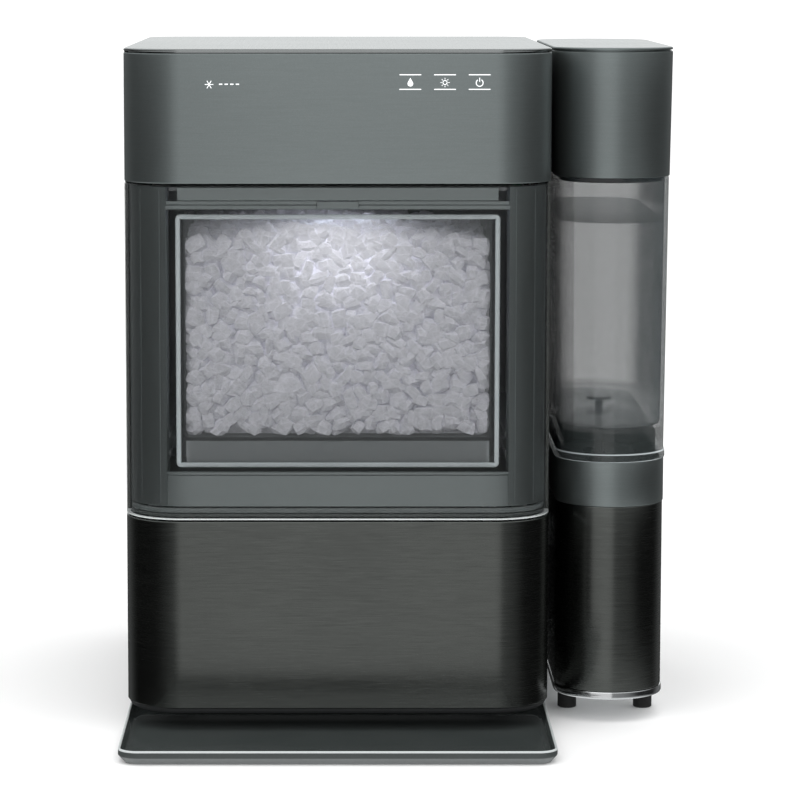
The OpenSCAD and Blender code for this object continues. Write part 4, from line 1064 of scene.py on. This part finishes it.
def area_light(name, place, size_xy, energy, aim=None):
    """Rectangular light at a place of the frame, facing down unless it is aimed."""
    data = bpy.data.lights.new(name, "AREA")
    data.shape = "RECTANGLE"
    data.size, data.size_y = size_xy
    data.energy = energy
    lamp = bpy.data.objects.new(name, data)
    lamp.location = place
    if aim is not None:
        lamp.rotation_euler = (Vector(aim) - Vector(place)).to_track_quat("-Z", "Y").to_euler()
    bpy.context.scene.collection.objects.link(lamp)
    return lamp


class ICEMAKER_OT_lamp(bpy.types.Operator):
    """Build the lamp's lens over the ice and its light"""
    bl_idname = "icemaker.lamp"
    bl_label = "Bin lamp"
    bl_options = {"REGISTER", "UNDO"}

    def execute(self, context):
        low, high = span("bin_light_lens")
        lens = bmesh.new()
        add_box(lens, low.x, high.x, low.y, high.y, low.z, high.z, 1.2)
        make_piece("bin_lamp_lens", lens, "glow", "cabinet", ["bin_light_lens"])
        under = to_frame(((low.x + high.x) / 2, (low.y + high.y) / 2, low.z - 0.6))
        area_light("bin_lamp", under, (0.04, 0.018), 0.004).data.color = finish().lamp
        return {"FINISHED"}


class ICEMAKER_OT_tray(bpy.types.Operator):
    """Build the drip tray"""
    bl_idname = "icemaker.tray"
    bl_label = "Drip tray"
    bl_options = {"REGISTER", "UNDO"}

    def execute(self, context):
        low, high = TRAY
        top = high.z
        tray = bmesh.new()
        section = [(4.6, 0.0), (3.8, 0.35), (0.35, 4.3), (0.0, 4.9), (0.0, top - 1.1), (0.1, top - 0.4),
                   (0.5, top), (1.0, top), (1.35, top - 0.2), (1.5, top - 0.6), (2.3, 3.4), (3.2, 2.6),
                   (4.6, 2.4)]
        corner_r = 12.0
        add_stack(tray, [(box_plan(low.x, high.x, low.y, high.y, corner_r, inset, 10), z)
                         for inset, z in section])
        piece = make_piece("tray_moulding", tray, "tray_plastic", "tray", ["drip_tray"])
        add_finishes(piece, "tray_rim_painted_highlight", "tray_side", "tray_chamfer_painted_reflection")
        rim_low, chamfer_top, floor = (top - 1.05) * MM, 4.5 * MM, 2.6 * MM
        middle = to_frame((low + high) / 2)
        # painted light: the rim gets a pale copy of the plastic as a painted highlight, the outer wall a
        # darker, duller copy (tray_side) as painted shade, and the chamfer a paler copy as painted reflection
        # of the floor
        for face in piece.data.polygons:
            outward = (face.center - middle).to_2d().dot(face.normal.to_2d()) > 0
            if face.center.z > rim_low:
                face.material_index = 1
            elif face.normal.z < -0.3 and 0.0003 < face.center.z < chamfer_top:
                face.material_index = 3
            elif outward and face.center.z > floor:
                face.material_index = 2
        return {"FINISHED"}


class ICEMAKER_OT_tank(bpy.types.Operator):
    """Build the side tank: base, collar, clear tank with its water, valve and cap"""
    bl_idname = "icemaker.tank"
    bl_label = "Side tank"
    bl_options = {"REGISTER", "UNDO"}

    def execute(self, context):
        self.build_base()
        self.build_collar()
        self.build_tank()
        self.build_water()
        self.build_valve()
        self.build_cap()
        return {"FINISHED"}

    def stack(self, name, section, finish_name, body, slot, replaces=()):
        """Solid piece from a section of (radius, height) up the tank's outline."""
        bm = bmesh.new()
        add_stack(bm, [(stadium(r), z) for r, z in section])
        return make_piece(name, bm, finish_name, body, replaces)

    def build_base(self):
        """Base with its bracket to the cabinet, the bright ring under it and its four feet."""
        r, z0, z1 = BASE_R, SHELL[0].z, SHELL[1].z
        section = [(r - 1.2, z0), (r - 0.3, z0 + 0.15), (r, z0 + 0.7), (r, z1 - 0.7), (r - 0.3, z1 - 0.15),
                   (r - 1.2, z1)]
        self.stack("tank_base_body", section, "black_stainless", "cabinet", "black_stainless",
                   ["tank_base_shell"])
        bracket = bmesh.new()
        add_box(bracket, HALF_W + 0.05, TANK_X - r + 0.6, TANK_MID - 40, TANK_MID + 40, 50, 100, 1.0)
        make_piece("tank_bracket", bracket, "black_plastic", "cabinet")
        r, z0, z1 = TANK_HALF, 15.0, RING[1].z
        section = [(r - 1.6, z0), (r - 0.5, z0 + 0.3), (r, z0 + 1.2), (r, z1 - 0.8), (r - 0.3, z1 - 0.2),
                   (r - 1.0, z1)]
        self.stack("tank_base_ring", section, "bright_steel", "cabinet", "bright_steel", ["tank_base_floor"])
        feet = bmesh.new()
        foot = [(5.2, 0), (6.0, 0.6), (6.0, 13.4), (5.6, z0 - 0.02)]
        for x in (TANK_X - 24.3, TANK_X + 24.3):
            for y in (TANK_Y0 + 17, TANK_Y1 - 17):
                add_turned(feet, (x, y, 0), "Z", foot, 32)
        make_piece("tank_feet", feet, "rubber", "cabinet")

    def build_collar(self):
        """Collar that the tank stands in, and the post that opens its valve."""
        r, z0, edge = COLLAR_R, COLLAR[0].z, 0.7
        z1 = z0 + 28
        collar = bmesh.new()
        section = [(r - 0.25, z0 + 0.15), (r, z0 + edge), (r, z1 - edge), (r - 0.2, z1 - 0.2), (r - edge, z1),
                   (r - 2.0, z1), (r - 2.4, z1 - 0.5), (r - 2.4, z0 + 7), (r - 30, z0 + 7), (r - 30, z0 + 4),
                   (r - 2.4, z0 + 4), (r - 2.4, z0), (r - edge, z0)]
        add_wall(collar, stadium, section, True)
        make_piece("collar_ring", collar, "slate_paint", "cabinet")
        post = bmesh.new()
        section = [(7, z0 + 3.9), (7, z0 + 7.4), (2.0, z0 + 8), (2.0, COLLAR[1].z - 14.5)]
        add_turned(post, (TANK_X, TANK_MID, 0), "Z", section, 24)
        make_piece("collar_post", post, "slate_paint", "cabinet", ["tank_collar"])

    def build_tank(self):
        """Clear tank: a foot inside the collar, the lip that rests on it and walls that widen upwards."""
        lip, top, floor, t = 166.1, CAP[0].z - 0.05, 186.6, TANK_WALL
        low_r, top_r = 34.1, 35.7
        draft = (top_r - low_r) / (top - lip - 5)
        tank = bmesh.new()

        def outer(z):
            return low_r + draft * (z - lip - 5)

        def ring(r, z):
            return [tank.verts.new((x, y, z)) for x, y in stadium(r)]
        outside = [(31.6, 147.0), (31.6, lip), (34.6, lip), (34.9, lip + 0.4), (34.9, lip + 4.4),
                   (34.6, lip + 4.9), (outer(lip + 5), lip + 5.2)]
        outside += [(outer(z), z) for z in (floor, 240, 300, top - 0.5)] + [(top_r - 0.4, top)]
        inside = [(top_r - t + 0.3, top), (outer(top) - t, top - 0.5)]
        inside += [(outer(z) - t, z) for z in (300, 240, floor + 3)]
        inside += [(outer(floor) - t - 0.9, floor + 0.9), (outer(floor) - t - 3, floor)]
        rings = [ring(r, z) for r, z in outside + inside]
        for first, second in zip(rings, rings[1:]):
            bridge(tank, first, second, True)
        tank.faces.new(rings[-1])
        under = [rings[0]] + [ring(r, z) for r, z in ((29.0, 147.0), (29.0, floor - 4), (28.0, floor - 3))]
        for first, second in zip(under, under[1:]):
            bridge(tank, first, second, True)
        tank.faces.new(under[-1])
        piece = make_piece("clear_tank", tank, "tank_clear", "side_tank", ["water_tank"])
        add_finishes(piece, "tank_back", "tank_shade", "tank_foot", "rim_clear_painted_highlight")
        rear = TANK_Y1 * MM + FRONT_Y
        for face in piece.data.polygons:
            z = face.center.z / MM
            # painted highlight: the lip's faces get the pale, dense rim film
            if lip - 0.2 < z < lip + 5.3 and abs(face.normal.z) > 0.2:
                face.material_index = 4
            elif z < floor + 3.1:
                face.material_index = 3
            elif face.center.y > rear:
                face.material_index = 1
            # painted reflection: the flank that faces the cabinet gets the darker tank_shade film for the
            # cabinet's dark side mirrored in it
            elif face.normal.x < -0.68 and face.center.x < to_frame((TANK_X, 0, 0)).x:
                face.material_index = 2

    def build_water(self):
        floor, level = 187.0, size("water")
        section = [(29.5, floor), (31.2, floor + 1.2), (32.5, level - 0.6), (32.6, level)]
        piece = self.stack("tank_water", section, "water", "side_tank", "tank_clear")
        add_finishes(piece, "water_top")
        # painted shade: the water's top gets a dark, dense film for the shade under the cap
        for face in piece.data.polygons:
            if face.center.z > (level - 0.1) * MM:
                face.material_index = 1

    def build_valve(self):
        z0, z1 = (corner.z for corner in span("tank_valve"))
        valve = bmesh.new()
        section = [(2.0, z0), (2.5, z0 + 0.5), (2.5, z0 + 2), (4.4, z0 + 2.2), (4.4, z0 + 3.8), (2.5, z0 + 4),
                   (2.5, z1 - 2.2), (7.0, z1 - 2), (8.0, z1 - 1.6), (8.0, z1 - 0.5), (7.4, z1)]
        add_turned(valve, (TANK_X, TANK_MID, 0), "Z", section, 40)
        make_piece("valve_poppet_body", valve, "tank_foot", "valve_poppet", ["tank_valve"])

    def build_cap(self):
        """Cap with the seam of its lid, the stopper under it and the latch tab at its front."""
        z0, z1, r0, r1 = CAP[0].z, CAP[1].z, CAP_LOW_R, CAP_R
        seam0, seam1, roll = z1 - 2.6, z1 - 1.8, 1.1
        section = [(32.0, z0), (r0 - 0.8, z0), (r0 - 0.2, z0 + 0.2), (r0, z0 + 0.8), (r1, seam0 - 0.7),
                   (r1 - 0.15, seam0 - 0.25), (r1 - 0.6, seam0), (r1 - 1.6, seam0), (r1 - 1.6, seam1),
                   (r1 - 0.7, seam1), (r1 - 0.2, seam1 + 0.15), (r1, seam1 + 0.6)]
        section += arc(r1 - roll, z1 - roll, roll, 0, 90, 6)[1:] + [(r1 - 3, z1)]
        piece = self.stack("cap_body", section, "slate_paint", "cap", "slate_paint", ["tank_cap"])
        add_finishes(piece, "top_sheet")
        for face in piece.data.polygons:
            if face.center.z > (z1 - 0.15) * MM:
                face.material_index = 1
        low, top = SEAL[0].z, SEAL[1].z - 3.9
        section = [(31.6, low), (32.5, low + 0.5), (32.6, low + 2.4), (31.8, low + 3.1), (32.5, low + 3.8),
                   (32.3, top - 0.05), (30, top)]
        self.stack("cap_stopper", section, "seal_rubber", "cap", "seal_rubber", ["cap_seal"])
        tab = bmesh.new()
        section = [(35.7, z0 - 2.4), (36.15, z0 - 2.1), (36.15, z0 - 0.02), (35.7, z0 - 0.02)]
        add_wall(tab, lambda r: arc(TANK_X, TANK_Y0, r, -128, -84, 11), section, False)
        make_piece("cap_latch_tab", tab, "seal_rubber", "cap")


class ICEMAKER_OT_rear(bpy.types.Operator):
    """Build the two hoses from the cabinet's back to the side tank's base"""
    bl_idname = "icemaker.rear"
    bl_label = "Link hoses"
    bl_options = {"REGISTER", "UNDO"}

    def execute(self, context):
        low, high = span("tank_link_hoses")
        r = 4.5
        x, out = low.x + r, high.y - r
        hoses = bmesh.new()
        for z in (low.z + r, high.z - r):
            corners = [(x, REAR[0].y - 5, z), (x, out, z), (TANK_X, out, z), (TANK_X, low.y + 0.5, z)]
            add_tube(hoses, rounded_route(corners, 14), r, 24)
        make_piece("link_hoses", hoses, "hose", "cabinet", ["tank_link_hoses"])
        return {"FINISHED"}


class ICEMAKER_OT_stage(bpy.types.Operator):
    """Set the floor, the lights and the camera"""
    bl_idname = "icemaker.stage"
    bl_label = "Stage"
    bl_options = {"REGISTER", "UNDO"}

    def execute(self, context):
        self.build_floor()
        self.build_world()
        self.build_lights()
        self.build_camera()
        return {"FINISHED"}

    def build_floor(self):
        mesh = bpy.data.meshes.new("floor")
        far = 12.0
        mesh.from_pydata([(-far, -far, 0), (far, -far, 0), (far, far, 0), (-far, far, 0)], [], [(0, 1, 2, 3)])
        floor = bpy.data.objects.new("floor", mesh)
        bpy.context.scene.collection.objects.link(floor)
        s = Shader("floor_paint")
        s.link(s.tint(s.noise(3.0, 2.0), (0.93, 0.93, 0.93), (0.95, 0.95, 0.95)), "Base Color")
        s.set(Roughness=0.7, Specular_IOR_Level=0.2)
        mesh.materials.append(s.material)
        floor.visible_glossy = False

    def build_world(self):
        """Plain white room, with a pattern of dark and bright walls that only reflections show."""
        world = bpy.data.worlds.new("studio")
        bpy.context.scene.world = world
        world.use_nodes = True
        w = Wiring(world.node_tree)
        w.nodes.clear()

        def fade(value, start, end, low, high):
            return w.span(value, low, high, start, end, "SMOOTHSTEP")

        def both(a, b):
            return w.math("MULTIPLY", a, b)

        def brighter(a, b):
            return w.math("MAXIMUM", a, b)
        directions = w.add("ShaderNodeTexCoord").outputs["Generated"]
        x, y, z = w.add("ShaderNodeSeparateXYZ", Vector=directions).outputs
        across = w.math("ABSOLUTE", x)
        right = both(fade(x, 0.1, 0.7, 0.0, 1.0), fade(x, 0.7, 0.98, 0.1, 0.0))
        spread = w.math("ADD", both(fade(across, 0.15, 0.95, 1.0, 0.0), 0.24), right)
        front = both(spread, fade(y, -0.1, 0.1, 1.0, 0.0))
        back = both(fade(y, 0.35, 0.8, 0.0, 1.0), fade(across, 0.2, 0.5, 1.0, 0.0))
        back = both(back, fade(z, -0.03, 0.05, 0.0, 1.0))
        above, below = fade(z, 0.12, 0.6, 0.0, 0.9), fade(z, -0.8, -0.35, 0.9, 0.0)
        sides = both(fade(y, 0.3, 0.8, 0.0, 0.14), fade(across, 0.25, 0.5, 0.0, 1.0))
        sides = w.math("ADD", sides, 0.015)
        walls = brighter(brighter(brighter(front, back), brighter(above, below)), sides)
        pattern = w.add("ShaderNodeBackground", Color=(0.97, 1.0, 1.0, 1), Strength=walls)
        plain = w.add("ShaderNodeBackground", Color=(1, 1, 1, 1), Strength=1.2)
        reflected = w.add("ShaderNodeLightPath").outputs["Is Glossy Ray"]
        mix = w.add("ShaderNodeMixShader", Fac=reflected)
        w.feed(mix.inputs[1], plain.outputs[0])
        w.feed(mix.inputs[2], pattern.outputs[0])
        w.add("ShaderNodeOutputWorld", Surface=mix.outputs[0])

    def build_lights(self):
        """Two soft lights for the shape, and a board that only the brushed steel reflects."""
        middle = (0, 0, 0.2)
        lights = [area_light("overhead", (0.0, -0.4, 1.7), (1.6, 1.2), 9, middle),
                  area_light("front_fill", (-0.3, -1.6, 0.9), (1.2, 1.0), 3, middle)]
        for light in lights:
            light.visible_glossy = False
        place, width, brightness = to_frame((17, -380, 200)), 0.408, 0.52
        energy = brightness * math.pi * width
        board = area_light("front_board", place, (width, 1.0), energy, place + Vector((0, 1, 0)))
        board.visible_diffuse = False
        for light in lights + [board]:
            light.visible_camera = False

    def build_camera(self):
        data = bpy.data.cameras.new("camera")
        data.lens = 154.7
        data.sensor_width = 36.0
        data.shift_x, data.shift_y = 0.0778, -0.0057
        data.clip_end = 60
        camera = bpy.data.objects.new("camera", data)
        camera.location = to_frame((0, -2090.7, 477.5))
        tilt = 7.22
        camera.rotation_euler = Euler((math.radians(90 - tilt), 0, 0))
        bpy.context.scene.collection.objects.link(camera)
        bpy.context.scene.camera = camera
        bpy.context.scene.view_settings.view_transform = "Standard"


# ------------------------------------------------------------------ panel and run

class ICEMAKER_PT_panel(bpy.types.Panel):
    """Sizes, colours and build steps of the ice maker"""
    bl_idname = "ICEMAKER_PT_panel"
    bl_label = "Ice maker"
    bl_space_type = "VIEW_3D"
    bl_region_type = "UI"
    bl_category = "Ice maker"

    def draw(self, context):
        for group in (context.scene.ice_maker_sizes, context.scene.ice_maker_finish):
            for key in group.bl_rna.properties.keys():
                if key not in ("rna_type", "name"):
                    self.layout.prop(group, key)
        for step in STEPS:
            self.layout.operator(step.bl_idname)


STEPS = (ICEMAKER_OT_frame, ICEMAKER_OT_cabinet, ICEMAKER_OT_marks, ICEMAKER_OT_drawer, ICEMAKER_OT_ice,
         ICEMAKER_OT_lamp, ICEMAKER_OT_tray, ICEMAKER_OT_tank, ICEMAKER_OT_rear, ICEMAKER_OT_stage)
CLASSES = (IceMakerFinish, IceMakerSizes, *STEPS, ICEMAKER_PT_panel)


def register():
    for cls in CLASSES:
        bpy.utils.register_class(cls)
    bpy.types.Scene.ice_maker_finish = PointerProperty(type=IceMakerFinish)
    bpy.types.Scene.ice_maker_sizes = PointerProperty(type=IceMakerSizes)


def unregister():
    del bpy.types.Scene.ice_maker_sizes
    del bpy.types.Scene.ice_maker_finish
    for cls in reversed(CLASSES):
        bpy.utils.unregister_class(cls)


def main():
    register()
    for step in STEPS:
        group, name = step.bl_idname.split(".")
        result = getattr(getattr(bpy.ops, group), name)()
        if result != {"FINISHED"}:
            raise RuntimeError(f"{step.bl_idname} did not finish")


if __name__ == "__main__":
    main()
